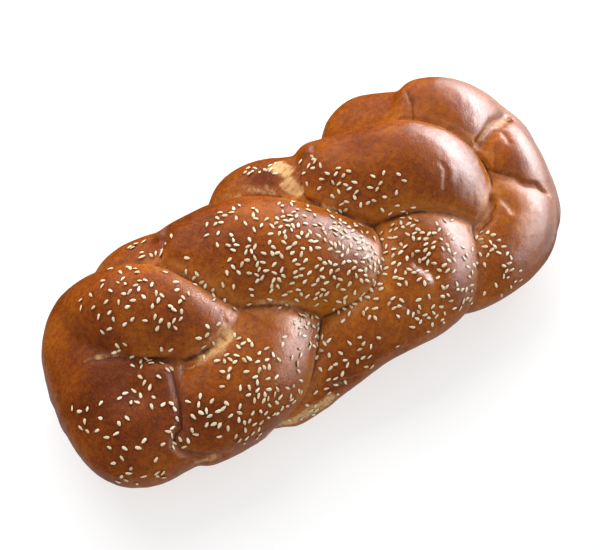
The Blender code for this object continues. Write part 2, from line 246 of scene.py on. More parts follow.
@dataclass
class Plait:
    """The three strands of the plait."""

    first: tuple[str, ...] = ("near_right", "second_left", "far_right")
    second: tuple[str, ...] = ("near_left", "third_right", "far_left")
    third: tuple[str, ...] = ("second_right", "third_left")
    near_tip: tuple[float, ...] = (-127.0, -3.0, 30.0, 31.0)
    far_end: tuple[tuple[float, ...], ...] = ((118.5, -13.5, 51.0, 25.0), (119.0, -32.5, 29.5, 27.0))
    covered_start: tuple[float, ...] = (-30.0, 45.0, -10.0, -4.0)
    covered_end: tuple[float, ...] = (12.0, -21.0, -18.0, -2.0)
    under_z: float = 18.5
    under_r: float = 21.0
    under_in: float = 0.77
    foot_full: float = 0.15
    neck_before: float = 16.0
    neck_after: float = 4.5
    step: float = 2.0
    shift: tuple[float, float] = (2.25, -3.86)

    def underpass(self, before: Lobe, after: Lobe) -> np.ndarray:
        """Find where a strand crosses under the plait, between one lobe's dive and its next lobe's turn.

        Args:
            before: The lobe that it dives from.
            after: The lobe that it turns up into.

        Returns:
            A row of x, y, z and radius.
        """
        middle = 0.5 * (before.dive + after.dive - after.reach) - after.trail
        across = -before.side.value * before.width * self.under_in + after.side.value * after.foot
        return np.array([middle, across, self.under_z, self.under_r + self.foot_full * after.foot])

    def stations(self, names: tuple[str, ...], first: list[np.ndarray | tuple[float, ...]],
                 last: list[np.ndarray | tuple[float, ...]]) -> list[tuple[np.ndarray, str]]:
        """List a strand's rows in order.

        Args:
            names: Its lobes' names.
            first: Its rows before the first lobe.
            last: Its rows after the last one.

        Returns:
            Each row with the name of the lobe that its dough belongs to.
        """
        found = [(np.array(row), names[0]) for row in first]
        for name, following in zip(names, names[1:] + (None,)):
            found += [(row, name) for row in LOBES[name].rows()]
            if following:
                found.append((self.underpass(LOBES[name], LOBES[following]), following))
        return found + [(np.array(row), FAR_LOBE) for row in last]

    def smooth(self, stations: list[tuple[np.ndarray, str]]) -> Route:
        """Draw a smooth route through the stations.

        Args:
            stations: The strand's rows, each with its lobe's name.

        Returns:
            The route, with a row at every step.
        """
        rows = np.array([row for row, _ in stations])
        lobes = np.array([LOBE_NAMES.index(lobe) for _, lobe in stations])
        gaps = np.linalg.norm(np.diff(rows[:, :3], axis=0), axis=1)
        slopes = np.diff(rows, axis=0) / gaps[:, None]
        share = (gaps[:-1] / (gaps[:-1] + gaps[1:]))[:, None]
        tangents = np.empty_like(rows)
        tangents[1:-1] = slopes[:-1] * (1.0 - share) + slopes[1:] * share
        tangents[0] = 2.0 * slopes[0] - tangents[1]
        tangents[-1] = 2.0 * slopes[-1] - tangents[-2]
        marks = np.concatenate([[0.0], np.cumsum(gaps)])
        along = np.linspace(0.0, marks[-1], int(marks[-1] / self.step) + 1)
        i = np.clip(np.searchsorted(marks, along, side="right") - 1, 0, len(gaps) - 1)
        gap = gaps[i][:, None]
        u = (along - marks[i])[:, None] / gap
        route = (rows[i] * (2 * u**3 - 3 * u**2 + 1) + tangents[i] * gap * (u**3 - 2 * u**2 + u)
                 + rows[i + 1] * (3 * u**2 - 2 * u**3) + tangents[i + 1] * gap * (u**3 - u**2))
        return Route(route, lobes[i + 1])

    def pinch(self, route: Route, names: tuple[str, ...]) -> None:
        """Thin the strand as it rises to each folded neck, so that the lobe bulges out past it.

        Args:
            route: The strand's route, which is changed.
            names: Its lobes' names.
        """
        for lobe in (LOBES[name] for name in names):
            if lobe.neck:
                nearest = np.linalg.norm(route.rows[:, :3] - lobe.neck_place(), axis=1).argmin()
                away = (np.arange(len(route.rows)) - nearest) * self.step
                width = np.where(away < 0.0, self.neck_before, self.neck_after)
                route.rows[:, 3] -= lobe.pinch * bell(away, width)

    def routes(self) -> list[Route]:
        """Route the three strands.

        Returns:
            Their routes in the loaf's frame.
        """
        covered_from = LOBES[self.third[0]].rows()[0] + np.array(self.covered_start)
        covered_to = LOBES[self.third[-1]].rows()[-1] + np.array(self.covered_end)
        plans = (
            (self.first, [self.near_tip], []),
            (self.second, [self.near_tip], list(self.far_end)),
            (self.third, [covered_from], [covered_to]),
        )
        made = []
        for names, first, last in plans:
            route = self.smooth(self.stations(names, first, last))
            self.pinch(route, names)
            route.rows[:, :2] += self.shift
            made.append(route)
        return made


@dataclass
class Meeting:
    """How each place on the crust lies to the strands: its lobe, and its distance from the nearest seam."""

    lobe: np.ndarray
    seam: np.ndarray
    angled: np.ndarray

    # Dough further than this along the same strand counts as another strand's.
    SAME_STRAND = 60.0
    # So many places are measured at a time.
    CHUNK = 4000
    # The least squared distance and the least turn between two strands' faces that are divided by.
    LEAST_SQUARE = 1e-6
    LEAST_TURN = 0.05

    @classmethod
    def of(cls, places: np.ndarray, routes: list[Route], meet_from: float, meet_full: float) -> Meeting:
        """Measure every place against the three strands.

        Args:
            places: Places in millimetres.
            routes: The three strands.
            meet_from: How far apart two strands' faces point where a seam begins to show, from 0 to 2.
            meet_full: How far apart they point where it shows in full.

        Returns:
            The lobe's number, the distance along the skin to the next strand's dough, and how much of a seam
            it is.
        """
        rows = np.concatenate([route.rows for route in routes])
        lobes = np.concatenate([route.lobes for route in routes])
        strand = np.concatenate([np.full(len(route.rows), k) for k, route in enumerate(routes)])
        along = np.concatenate([np.arange(len(route.rows)) * Plait.step for route in routes])
        found = []
        for start in range(0, len(places), cls.CHUNK):
            here = places[start:start + cls.CHUNK]
            squares = (here**2).sum(axis=1)[:, None] + (rows[:, :3] ** 2).sum(axis=1)
            squares = squares - 2.0 * here @ rows[:, :3].T
            lengths = np.sqrt(np.maximum(squares, cls.LEAST_SQUARE))
            depths = lengths - rows[:, 3]
            nearest = depths.argmin(axis=1)
            same = strand == strand[nearest][:, None]
            same &= np.abs(along - along[nearest][:, None]) < cls.SAME_STRAND
            others = np.where(same, np.inf, depths)
            second = others.argmin(axis=1)
            index = np.arange(len(nearest))
            one = (here - rows[nearest, :3]) / lengths[index, nearest][:, None]
            two = (here - rows[second, :3]) / lengths[index, second][:, None]
            apart = 1.0 - (one * two).sum(axis=1)
            gap = others[index, second] - depths[index, nearest]
            along_skin = gap / np.sqrt(np.maximum(2.0 * apart, cls.LEAST_TURN))
            found.append(np.stack([lobes[nearest], along_skin, apart]))
        lobe, seam, apart = np.concatenate(found, axis=1)
        return cls(lobe.astype(int), seam, np.clip((apart - meet_from) / (meet_full - meet_from), 0.0, 1.0))


@dataclass(frozen=True)
class Line:
    """A short line over the crust, through a few places, and the shares of it that fade at its two ends."""

    places: tuple[Point, ...]
    fades: tuple[float, float] = (0.25, 0.25)

    def draped(self, crust: KDTree) -> Line:
        """Lay the line on the crust: each of its close-set points is moved to the nearest dough.

        Args:
            crust: The crust's places in millimetres.

        Returns:
            The line with its new places.
        """
        points = []
        for start, end in zip(self.places, self.places[1:]):
            count = max(1, round(math.dist(start, end) / DRAPE_STEP))
            points += [Vector(start).lerp(Vector(end), k / count) for k in range(count)]
        points.append(Vector(self.places[-1]))
        laid = [sum((found[0] for found in crust.find_n(point, DRAPE_COUNT)), Vector()) / DRAPE_COUNT
                for point in points]
        return replace(self, places=tuple(tuple(place) for place in laid))

    def measure(self, at: np.ndarray) -> tuple[np.ndarray, np.ndarray]:
        """Distance from the line, and how far along it, for each place.

        Args:
            at: Places in millimetres.

        Returns:
            The distances and the lengths along, in millimetres. Far from the line the distance is FAR_AWAY.
        """
        corners = np.array(self.places)
        low, high = corners.min(axis=0) - LINE_REACH, corners.max(axis=0) + LINE_REACH
        close = np.all((at > low) & (at < high), axis=1)
        away, along = np.full(len(at), FAR_AWAY), np.zeros(len(at))
        away[close], along[close] = self.measure_close(at[close])
        return away, along

    def measure_close(self, at: np.ndarray) -> tuple[np.ndarray, np.ndarray]:
        """Measure the places that lie in the line's neighbourhood.

        Args:
            at: Places in millimetres.

        Returns:
            The distances and the lengths along, in millimetres.
        """
        best = np.full(len(at), FAR_AWAY)
        along = np.zeros(len(at))
        passed = 0.0
        for start, end in zip(self.places, self.places[1:]):
            run = np.array(end) - np.array(start)
            length = float(np.linalg.norm(run))
            share = np.clip((at - np.array(start)) @ run / length**2, 0.0, 1.0)
            away = np.linalg.norm(at - np.array(start) - share[:, None] * run, axis=1)
            nearer = away < best
            best = np.where(nearer, away, best)
            along = np.where(nearer, passed + share * length, along)
            passed += length
        return best, along

    def taper(self, along: np.ndarray) -> np.ndarray:
        """Fade towards both ends of the line.

        Args:
            along: Lengths along the line, in millimetres.

        Returns:
            The strength left at each, from 0 to 1.
        """
        total = sum(math.dist(a, b) for a, b in zip(self.places, self.places[1:]))
        starting = smoothstep(-HAIR, self.fades[0] * total, along)
        return starting * smoothstep(total + HAIR, (1.0 - self.fades[1]) * total, along)


@dataclass(frozen=True)
class Fold(Line):
    """A crease, a dent or, with a depth below nothing, a ridge in the crust. A sharp one has painted crease
    shade along its line.
    """

    width: float = 3.0
    depth: float = 1.0
    # How strong the painted crease shade along the line is.
    dark: float = 0.0


FOLDS = {
    "far wrap": Fold(
        ((106, -6, 71), (121, -2, 72), (131, -2, 69), (141, -2, 65)), (0.1, 0.1), width=3.2, depth=3.0,
        dark=0.35),
    "far seam": Fold(
        ((100, -21, 68), (103, -23, 68), (108, -30, 69), (112, -36, 69), (115, -41, 67), (121, -44, 64),
        (124, -48, 61), (129, -52, 55)), (0.1, 0.2), width=1.4, depth=1.8, dark=0.7),
    "third right dent": Fold(
        ((32, -39, 70), (32, -43, 68), (33, -48, 68), (35, -52, 66), (36, -56, 67), (37, -58, 65),
        (38, -62, 62)), width=4.4, depth=2.6),
    "third right basin": Fold(((36, -44, 70), (38, -48, 70), (40, -52, 69)), width=6.0, depth=1.6),
    "third right lip": Fold(
        ((29, -48, 68), (31, -52, 68), (32, -56, 68), (32, -61, 62)), width=4.4, depth=-1.0),
    "third right edge": Fold(((28, -32, 68), (36, -36, 69)), width=1.6, depth=1.2, dark=0.35),
    "third right valley": Fold(
        ((29, -39, 69), (27, -43, 67), (25, -48, 65), (23, -53, 64)), width=2.6, depth=1.0),
    "third right wrinkle": Fold(
        ((14, -55, 61), (16, -59, 58), (18, -63, 57), (21, -67, 54)), width=1.2, depth=0.7, dark=0.3),
    "third right notch": Fold(
        ((14, -69, 46), (12, -72, 38), (10, -74, 30)), width=2.0, depth=1.2, dark=0.15),
    "third right foot lip": Fold(
        ((-34, -62, 34), (-25, -67, 32), (-16, -70, 32)), width=1.8, depth=1.8, dark=0.4),
    "far right dimple": Fold(
        ((98, -38, 66), (98, -45, 66), (98, -49, 66), (96, -53, 65)), width=2.0, depth=0.9, dark=0.5),
    "third left wrinkle": Fold(
        ((71, -13, 89), (72, -19, 86), (68, -24, 83), (65, -28, 80)), width=1.3, depth=0.6, dark=0.4),
    "third left wrinkle lip": Fold(((74, -16, 88), (74, -21, 85), (70, -26, 81)), width=3.0, depth=-0.4),
    "third left wedge": Fold(((106, -16, 69), (102, -25, 67)), width=1.8, depth=1.2, dark=0.3),
    "third left end": Fold(
        ((96, -34, 67), (92, -41, 65), (86, -46, 63), (77, -48, 60)), (0.2, 0.0), width=1.8, depth=2.4,
        dark=1.0),
    "far left end": Fold(((105, -7, 75), (108, -10, 73), (109, -14, 73)), width=2.4, depth=1.6, dark=0.7),
    "far wrap wrinkle": Fold(
        ((123, -7, 72), (122, -15, 74), (120, -21, 74)), width=1.6, depth=0.5, dark=0.2),
    "far left neck": Fold(
        ((96, 40, 78), (94, 36, 80), (90, 28, 82), (85, 20, 79)), (0.2, 0.0), width=1.3, depth=1.6,
        dark=0.75),
    "third left neck": Fold(
        ((32, 38, 78), (25, 34, 80), (20, 32, 75), (17, 30, 74), (15, 27, 74), (12, 22, 72), (9, 15, 72),
        (13, 9, 70)), (0.1, 0.0), width=1.7, depth=2.4, dark=0.8),
    "third left neck slope": Fold(
        ((26, 42, 73), (18, 39, 74), (13, 35, 72), (10, 31, 71), (7, 26, 70), (5, 19, 70)), (0.3, 0.1),
        width=6.5, depth=3.4),
    "third left bulge": Fold(
        ((35, 30, 82), (29, 24, 81), (25, 17, 79), (22, 9, 77)), width=6.5, depth=-2.4),
    "second left neck": Fold(
        ((-59, 43, 71), (-63, 40, 71), (-67, 35, 72), (-71, 30, 72), (-75, 25, 72), (-79, 21, 71)),
        (0.1, 0.0), width=1.8, depth=3.2, dark=1.0),
    "second left neck slope": Fold(
        ((-68, 43, 69), (-73, 37, 71), (-77, 31, 71), (-81, 25, 71)), width=6.0, depth=3.0),
    "second left bulge": Fold(
        ((-55, 35, 78), (-60, 29, 78), (-65, 22, 77), (-69, 16, 76)), width=5.5, depth=-2.0),
    "near right seam": Fold(
        ((-99, -22, 60), (-100, -24, 60), (-102, -29, 59), (-104, -35, 59), (-106, -41, 58),
        (-109, -46, 57), (-112, -50, 54), (-115, -50, 51), (-117, -52, 49)), (0.0, 0.0), width=1.5,
        depth=1.8, dark=1.0),
    "near foot crease": Fold(
        ((-117, -52, 49), (-116, -55, 44), (-113, -59, 42), (-108, -62, 39), (-103, -64, 35),
        (-98, -65, 33), (-92, -66, 32)), (0.0, 0.4), width=1.8, depth=1.8, dark=0.7),
    "third left fold": Fold(((10, 36, 76), (12, 32, 77), (13, 27, 78)), width=1.8, depth=1.4, dark=0.1),
    "second left wrinkle": Fold(((-63, 29, 79), (-67, 20, 78)), width=1.1, depth=0.5, dark=0.25),
    "near tip seam": Fold(
        ((-133, 5, 57), (-129, 2, 59), (-123, 0, 60), (-119, -3, 61), (-115, -6, 60), (-110, -8, 59),
        (-106, -12, 59), (-102, -17, 59), (-97, -21, 59)), (0.25, 0.0), width=1.2, depth=1.0, dark=0.8),
    "near right corner": Fold(((-119, -12, 58), (-112, -19, 58), (-109, -28, 59)), width=6.5, depth=-1.8),
    "near foot ledge": Fold(
        ((-112, -58, 30), (-104, -62, 22), (-92, -64, 18), (-78, -64, 15), (-64, -62, 13)), width=7.0,
        depth=-2.4),
    "foot ledge": Fold(
        ((-60, -60, 12), (-48, -61, 13), (-38, -64, 20), (-28, -68, 22)), width=7.0, depth=-1.6),
}


@dataclass(frozen=True)
class Tear(Line):
    """A place where the dough stretched and tore as it rose, so that it baked pale, fibrous and dull."""

    width: float = 5.0
    pale: float = 0.8
    ragged: float = 0.6
    lump: float = 0.3


TEARS = {
    "near left and second right": Tear(
        ((-62, -20, 66), (-70, -26, 65), (-77, -28, 64), (-84, -28, 62), (-92, -25, 60)), width=7.5,
        pale=0.75, ragged=0.6, lump=0.2),
    "second right edge": Tear(
        ((-96, -26, 59), (-90, -29, 61), (-83, -31, 62)), width=3.0, pale=0.5, lump=0.1),
    "second left lower edge": Tear(
        ((-53, -17, 65), (-46, -20, 66), (-40, -23, 66), (-34, -28, 64), (-26, -32, 60)), width=3.4,
        pale=0.65, lump=0.15),
    "second left bubbles": Tear(
        ((-42, -23, 65), (-34, -29, 62)), width=3.0, pale=0.5, ragged=1.0, lump=0.9),
    "near seam": Tear(
        ((-134, 7, 56), (-127, 3, 60), (-119, -1, 61), (-112, -5, 60)), width=2.8, pale=0.45, lump=0.0),
    "rising lobe": Tear(
        ((-15, 50, 59), (-11, 45, 63), (-6, 39, 65), (-2, 34, 67), (4, 26, 69)), width=4.5, pale=0.5,
        ragged=0.8, lump=0.15),
    "rising lobe core": Tear(
        ((9, 50, 65), (10, 42, 69), (12, 36, 70), (12, 32, 70)), width=8.5, pale=1.0, ragged=0.5, lump=0.08),
    "rising lobe hollow": Tear(
        ((6, 37, 69), (8, 30, 70), (9, 24, 69), (9, 16, 70)), width=7.0, pale=0.9, ragged=0.5, lump=0.08),
    "rising lobe edge": Tear(
        ((-22, 55, 52), (-18, 49, 57), (-12, 41, 62)), width=3.5, pale=0.45, ragged=0.9, lump=0.15),
    "far wrap crack": Tear(
        ((107, -6, 71), (114, -3, 73), (121, -1, 73), (130, -2, 69), (136, 0, 67), (141, -2, 65)),
        (0.1, 0.1), width=2.2, pale=0.9, ragged=0.7, lump=0.1),
    "far left lower edge": Tear(((92, 7, 82), (97, 0, 80), (106, -4, 72)), width=2.6, pale=0.45, lump=0.1),
    "third left lower edge": Tear(
        ((9, 15, 72), (11, 11, 71), (15, 5, 71), (20, -3, 70)), width=3.8, pale=0.8, lump=0.12),
    "third right corner": Tear(((74, -48, 61), (73, -56, 59)), width=2.4, pale=0.6, lump=0.2),
    "third left wedge": Tear(((107, -18, 69), (103, -26, 68)), width=2.2, pale=0.4, lump=0.1),
    "near foot": Tear(
        ((-115, -57, 37), (-111, -61, 33), (-106, -63, 33), (-102, -64, 32), (-96, -65, 32)), width=5.0,
        pale=0.6, ragged=0.8, lump=0.25),
    "foot": Tear(
        ((-80, -65, 22), (-71, -65, 21), (-62, -63, 12), (-56, -64, 14), (-49, -66, 18), (-43, -67, 22),
        (-36, -69, 24), (-28, -69, 26)), (0.2, 0.1), width=7.0, pale=0.8, ragged=0.5, lump=0.15),
}


@dataclass(frozen=True)
class TonePatch:
    """A patch whose colour is darker, or with an amount below nothing lighter, than the crust around it."""

    place: Point
    radius: float
    amount: float


TONE_PATCHES = (
    TonePatch((-118, 14, 60), 26, 0.1),
    TonePatch((-141, -16, 56), 13, 0.22),
    TonePatch((-130, -33, 54), 22, 0.36),
    TonePatch((-92, -14, 68), 10, 0.16),
    TonePatch((-50, 20, 80), 20, 0.3),
    TonePatch((-28, -12, 82), 24, -0.22),
    TonePatch((-95, -49, 57), 20, 0.08),
    TonePatch((30, 12, 84), 30, 0.06),
    TonePatch((0, 42, 70), 9, 0.35),
    TonePatch((-3, 31, 69), 4, 0.4),
    TonePatch((20, 38, 77), 8, 0.2),
    TonePatch((-14, -58, 50), 26, 0.06),
    # Painted shade in the third right lobe's dent.
    TonePatch((35, -49, 68), 6, 0.25),
    TonePatch((22, -60, 60), 18, -0.25),
    TonePatch((86, -60, 60), 20, -0.25),
)


def sorted_places(places: np.ndarray) -> KDTree:
    """Sort places for finding the nearest.

    Args:
        places: The places, one row each.

    Returns:
        Them, sorted.
    """
    tree = KDTree(len(places))
    for number, place in enumerate(places):
        tree.insert(place, number)
    tree.balance()
    return tree


@dataclass
class MeshTools:
    """Mesh values in millimetres, in and out."""

    mesh: bpy.types.Mesh

    def read(self, key: str) -> np.ndarray:
        """Read three numbers for each vertex.

        Args:
            key: The mesh's word for them.

        Returns:
            One row for each vertex.
        """
        found = np.empty(len(self.mesh.vertices) * 3)
        self.mesh.vertices.foreach_get(key, found)
        return found.reshape(-1, 3)

    def places(self) -> np.ndarray:
        """Places of the vertices."""
        return self.read("co") / MM

    def normals(self) -> np.ndarray:
        """Normals of the vertices."""
        return self.read("normal")

    def tree(self) -> KDTree:
        """The vertices' places, sorted for finding the nearest."""
        return sorted_places(self.places())

    def move(self, places: np.ndarray) -> None:
        """Put the vertices at new places."""
        self.mesh.vertices.foreach_set("co", (places * MM).ravel())
        self.mesh.update()

    def push(self, heights: np.ndarray) -> None:
        """Push every vertex out along its normal, or in where its height is below nothing."""
        self.move(self.places() + self.normals() * heights[:, None])

    def keep(self, name: str, values: np.ndarray) -> None:
        """Store one number, or one row of three, for each vertex.

        Args:
            name: Name of the attribute that the material reads.
            values: The numbers.
        """
        kind, key = ("FLOAT", "value") if values.ndim == 1 else ("FLOAT_VECTOR", "vector")
        stored = self.mesh.attributes.new(name, kind, "POINT")
        stored.data.foreach_set(key, values.astype(np.float32).ravel())

    def soften_shading(self) -> None:
        """Shade every face smoothly."""
        self.mesh.polygons.foreach_set("use_smooth", np.ones(len(self.mesh.polygons), dtype=bool))


def take_evaluated(item: bpy.types.Object) -> None:
    """Keep an object's shape with its modifiers applied.

    Args:
        item: The object, whose mesh is exchanged.
    """
    item.update_tag()
    graph = bpy.context.evaluated_depsgraph_get()
    shaped = bpy.data.meshes.new_from_object(item.evaluated_get(graph))
    old = item.data
    item.modifiers.clear()
    item.data = shaped
    bpy.data.meshes.remove(old)
    shaped.name = item.name


def show(name: str, mesh: bpy.types.Mesh) -> bpy.types.Object:
    """Put a mesh in the scene.

    Args:
        name: Its object's name.
        mesh: The mesh.

    Returns:
        The object, at the origin.
    """
    item = bpy.data.objects.new(name, mesh)
    bpy.context.scene.collection.objects.link(item)
    return item


@dataclass(frozen=True)
class BakingAndShade:
    """How dark the crust bakes, from 0 to 1: darker on top, lighter beside seams and low, painted shade in a
    dent.
    """

    level: float = 0.46
    top: float = 0.14
    seam: float = 0.34
    seam_width: float = 9.0
    low: float = 0.15
    low_heights: tuple[float, float] = (30.0, 8.0)
    uneven: float = 0.07
    uneven_length: float = 40.0

    def shade(self, places: np.ndarray, normals: np.ndarray, meeting: Meeting) -> np.ndarray:
        """Work out how dark each place bakes, with the painted shade in one dent.

        Args:
            places: Places in millimetres.
            normals: The skin's normals there.
            meeting: How the places lie to the strands.

        Returns:
            One number for each place, from 0 to 1.
        """
        bake_and_shade = self.level + self.top * normals[:, 2]
        bake_and_shade -= self.seam * meeting.angled * bell(meeting.seam, self.seam_width)
        bake_and_shade -= self.low * smoothstep(*self.low_heights, places[:, 2])
        for patch in TONE_PATCHES:
            away = np.linalg.norm(places - np.array(patch.place), axis=1)
            bake_and_shade += patch.amount * bell(away, patch.radius)
        bake_and_shade += self.uneven * ripples(places, self.uneven_length, seed=31.0)
        return np.clip(bake_and_shade, 0.0, 1.0)


@dataclass
class Crust:
    """The loaf's crust: one skin over the strands, pressed, folded and torn."""

    plait: Plait = field(default_factory=Plait)
    baking_and_shade: BakingAndShade = field(default_factory=BakingAndShade)
    tube_sides: int = 48
    end_rings: int = 16
    core_size: tuple[float, float, float] = (122.0, 46.0, 19.0)
    core_x: float = 6.25
    core_segments: int = 64
    voxel: float = 1.5
    smooth_rounds: int = 4
    smooth_share: float = 0.5
    fine_within: float = 2.6
    fine_angled: float = 0.3
    groove_depth: float = 1.7
    groove_width: float = 1.4
    groove_wander: float = 0.3
    shoulder_lift: float = 0.25
    shoulder_at: float = 8.0
    shoulder_width: float = 6.5
    # Width, strength and unevenness of the painted shade in the seams and sharp folds, partly their own
    # darker colour.
    crease_shade_width: float = 0.8
    crease_shade_level: float = 0.8
    crease_shade_wander: float = 0.35
    dull_width: float = 3.6
    tip_blend: tuple[float, float] = (-118.0, -106.0)
    meet_from: float = 0.12
    meet_full: float = 0.6
    slump: float = 10.0
    slump_below: float = 28.0
    slump_most: float = 1.5
    sole_heights: tuple[float, float] = (3.0, 0.6)
    finer: float = 0.6
    torn_core: float = 0.4
    torn_edge: tuple[float, float] = (1.0, 0.2)
    torn_ragged: float = 0.25
    ripple_lengths: tuple[float, ...] = (34.0, 13.0, 4.5)
    ripple_heights: tuple[float, ...] = (0.4, 0.2, 0.06)

    def build(self) -> tuple[bpy.types.Object, np.ndarray]:
        """Make the crust and store what its material reads.

        Returns:
            The crust's object, at the origin, and the number of each vertex's lobe.
        """
        routes = self.plait.routes()
        loaf = self.knead(routes)
        self.refine(loaf.data, routes)
        tools = MeshTools(loaf.data)
        meeting = Meeting.of(tools.places(), routes, self.meet_from, self.meet_full)
        meeting.angled *= smoothstep(*self.tip_blend, tools.places()[:, 0])
        self.press_seams(tools, meeting)
        self.press_folds(tools)
        self.tear(tools)
        self.ripple(tools)
        self.settle(tools)
        self.store_crease_shade_and_dullness(tools, meeting)
        self.store_tears(tools)
        tools.keep("bake_and_shade", self.baking_and_shade.shade(tools.places(), tools.normals(), meeting))
        tools.keep("sole", smoothstep(*self.sole_heights, tools.places()[:, 2]))
        tools.soften_shading()
        return loaf, meeting.lobe

    def rounded_end(self, last: np.ndarray, before: np.ndarray) -> list[np.ndarray]:
        """Carry a strand on past its last row as half a ball.

        Args:
            last: The last row.
            before: The row before it.

        Returns:
            The rows that follow.
        """
        heading = (last[:3] - before[:3]) / np.linalg.norm(last[:3] - before[:3])
        angles = np.linspace(0.0, 0.5 * math.pi, self.end_rings + 1)[1:-1]
        return [np.array([*(last[:3] + heading * last[3] * math.sin(a)), last[3] * math.cos(a)])
                for a in angles]

    def sweep(self, route: Route) -> bpy.types.Mesh:
        """Sweep a ring along a strand: a disc, extruded from row to row and closed at the end.

        Args:
            route: The strand's route.

        Returns:
            The strand's mesh.
        """
        shape = bmesh.new()
        rows = route.rows
        rows = [*reversed(self.rounded_end(rows[0], rows[1])), *rows, *self.rounded_end(rows[-1], rows[-2])]
        spots = [Vector(row[:3]) * MM for row in rows]
        turn = (spots[1] - spots[0]).to_track_quat("Z", "Y")
        heading = turn @ Vector((0.0, 0.0, 1.0))
        place = Matrix.LocRotScale(spots[0], turn, Vector((rows[0][3] * MM,) * 3))
        made = bmesh.ops.create_circle(shape, cap_ends=True, segments=self.tube_sides, radius=1.0,
                                       matrix=place)
        edges = list({edge for vert in made["verts"] for edge in vert.link_edges})
        for k in range(1, len(rows)):
            ahead = (spots[min(k + 1, len(rows) - 1)] - spots[k - 1]).normalized()
            turn = heading.rotation_difference(ahead) @ turn
            heading = ahead
            following = Matrix.LocRotScale(spots[k], turn, Vector((rows[k][3] * MM,) * 3))
            grown = bmesh.ops.extrude_edge_only(shape, edges=edges)["geom"]
            ring = [part for part in grown if isinstance(part, bmesh.types.BMVert)]
            edges = [part for part in grown if isinstance(part, bmesh.types.BMEdge)]
            bmesh.ops.transform(shape, matrix=following @ place.inverted(), verts=ring)
            place = following
        bmesh.ops.contextual_create(shape, geom=edges)
        bmesh.ops.recalc_face_normals(shape, faces=shape.faces)
        mesh = bpy.data.meshes.new("strand")
        shape.to_mesh(mesh)
        shape.free()
        return mesh

    def knead(self, routes: list[Route]) -> bpy.types.Object:
        """Draw one skin over the three strands and the crumb between them.

        Args:
            routes: The three strands.

        Returns:
            The loaf, still without its marks.
        """
        dough = bmesh.new()
        for route in routes:
            strand = self.sweep(route)
            dough.from_mesh(strand)
            bpy.data.meshes.remove(strand)
        length, width, height = self.core_size
        place = Matrix.Translation((self.core_x * MM, self.plait.shift[1] * MM, height * MM))
        size = Matrix.Diagonal((length * MM, width * MM, height * MM, 1.0))
        bmesh.ops.create_uvsphere(dough, u_segments=self.core_segments, v_segments=self.core_segments // 2,
                                  radius=1.0, matrix=place @ size)
        mesh = bpy.data.meshes.new("crust")
        dough.to_mesh(mesh)
        dough.free()
        loaf = show("crust", mesh)
        skin = loaf.modifiers.new("Skin", "REMESH")
        skin.mode = "VOXEL"
        skin.voxel_size = self.voxel * MM
        soften = loaf.modifiers.new("Soften", "SMOOTH")
        soften.factor = self.smooth_share
        soften.iterations = self.smooth_rounds
        take_evaluated(loaf)
        return loaf

    def refine(self, mesh: bpy.types.Mesh, routes: list[Route]) -> None:
        """Halve the faces beside the seams and the sharp folds, clear of the tray, to hold narrow lines.

        Args:
            mesh: The crust's mesh, which is changed.
            routes: The three strands.
        """
        places = MeshTools(mesh).places()
        meeting = Meeting.of(places, routes, self.meet_from, self.meet_full)
        fine = (meeting.seam < self.fine_within) & (meeting.angled > self.fine_angled)
        for fold in FOLDS.values():
            if fold.dark:
                away, _ = fold.measure(places)
                fine |= away < self.fine_within
        fine &= self.slumped(places[:, 2]) > 0.0
        shape = bmesh.new()
        shape.from_mesh(mesh)
        shape.verts.ensure_lookup_table()
        near = [face for face in shape.faces if any(fine[vert.index] for vert in face.verts)]
        edges = list({edge for face in near for edge in face.edges})
        bmesh.ops.subdivide_edges(shape, edges=edges, cuts=1, use_grid_fill=True)
        shape.to_mesh(mesh)
        shape.free()

    def press_seams(self, tools: MeshTools, meeting: Meeting) -> None:
        """Plump the lobes beside the seams and sink the seams between them.

        Args:
            tools: The crust's mesh.
            meeting: How its places lie to the strands.
        """
        wander = 1.0 + self.groove_wander * ripples(tools.places(), wavelength=9.0, seed=3.0)
        groove = self.groove_depth * wander * bell(meeting.seam, self.groove_width)
        shoulder = self.shoulder_lift * bell(meeting.seam - self.shoulder_at, self.shoulder_width)
        tools.push(meeting.angled * (shoulder - groove))

    def press_folds(self, tools: MeshTools) -> None:
        """Press the named creases and dents, and raise the named ridges.

        Args:
            tools: The crust's mesh.
        """
        tree = tools.tree()
        for fold in (fold.draped(tree) for fold in FOLDS.values()):
            away, along = fold.measure(tools.places())
            tools.push(-fold.depth * fold.taper(along) * bell(away, fold.width))

    def tear(self, tools: MeshTools) -> None:
        """Roughen the torn places.

        Args:
            tools: The crust's mesh.
        """
        places, tree = tools.places(), tools.tree()
        rough = ripples(places, wavelength=3.2, seed=9.0)
        rough = rough + self.finer * ripples(places, wavelength=1.9, seed=5.0)
        push = np.zeros(len(places))
        for tear in (tear.draped(tree) for tear in TEARS.values()):
            away, _ = tear.measure(places)
            push += tear.lump * rough * smoothstep(tear.width, self.torn_core * tear.width, away)
        tools.push(push)

    def ripple(self, tools: MeshTools) -> None:
        """Make the skin a little uneven.

        Args:
            tools: The crust's mesh.
        """
        places = tools.places()
        height = np.zeros(len(places))
        for number, (wavelength, rise) in enumerate(zip(self.ripple_lengths, self.ripple_heights)):
            height += rise * ripples(places, wavelength, seed=11.0 + number)
        tools.push(height)

    def slumped(self, heights: np.ndarray) -> np.ndarray:
        """Lower heights near the tray, where the dough slumps. What ends below nothing lies on the tray."""
        low = np.clip(1.0 - heights / self.slump_below, 0.0, self.slump_most)
        return heights - self.slump * low**2

    def settle(self, tools: MeshTools) -> None:
        """Let the dough slump on its tray, and flatten its underside there.

        Args:
            tools: The crust's mesh.
        """
        places = tools.places()
        places[:, 2] = np.maximum(self.slumped(places[:, 2]), 0.0)
        tools.move(places)

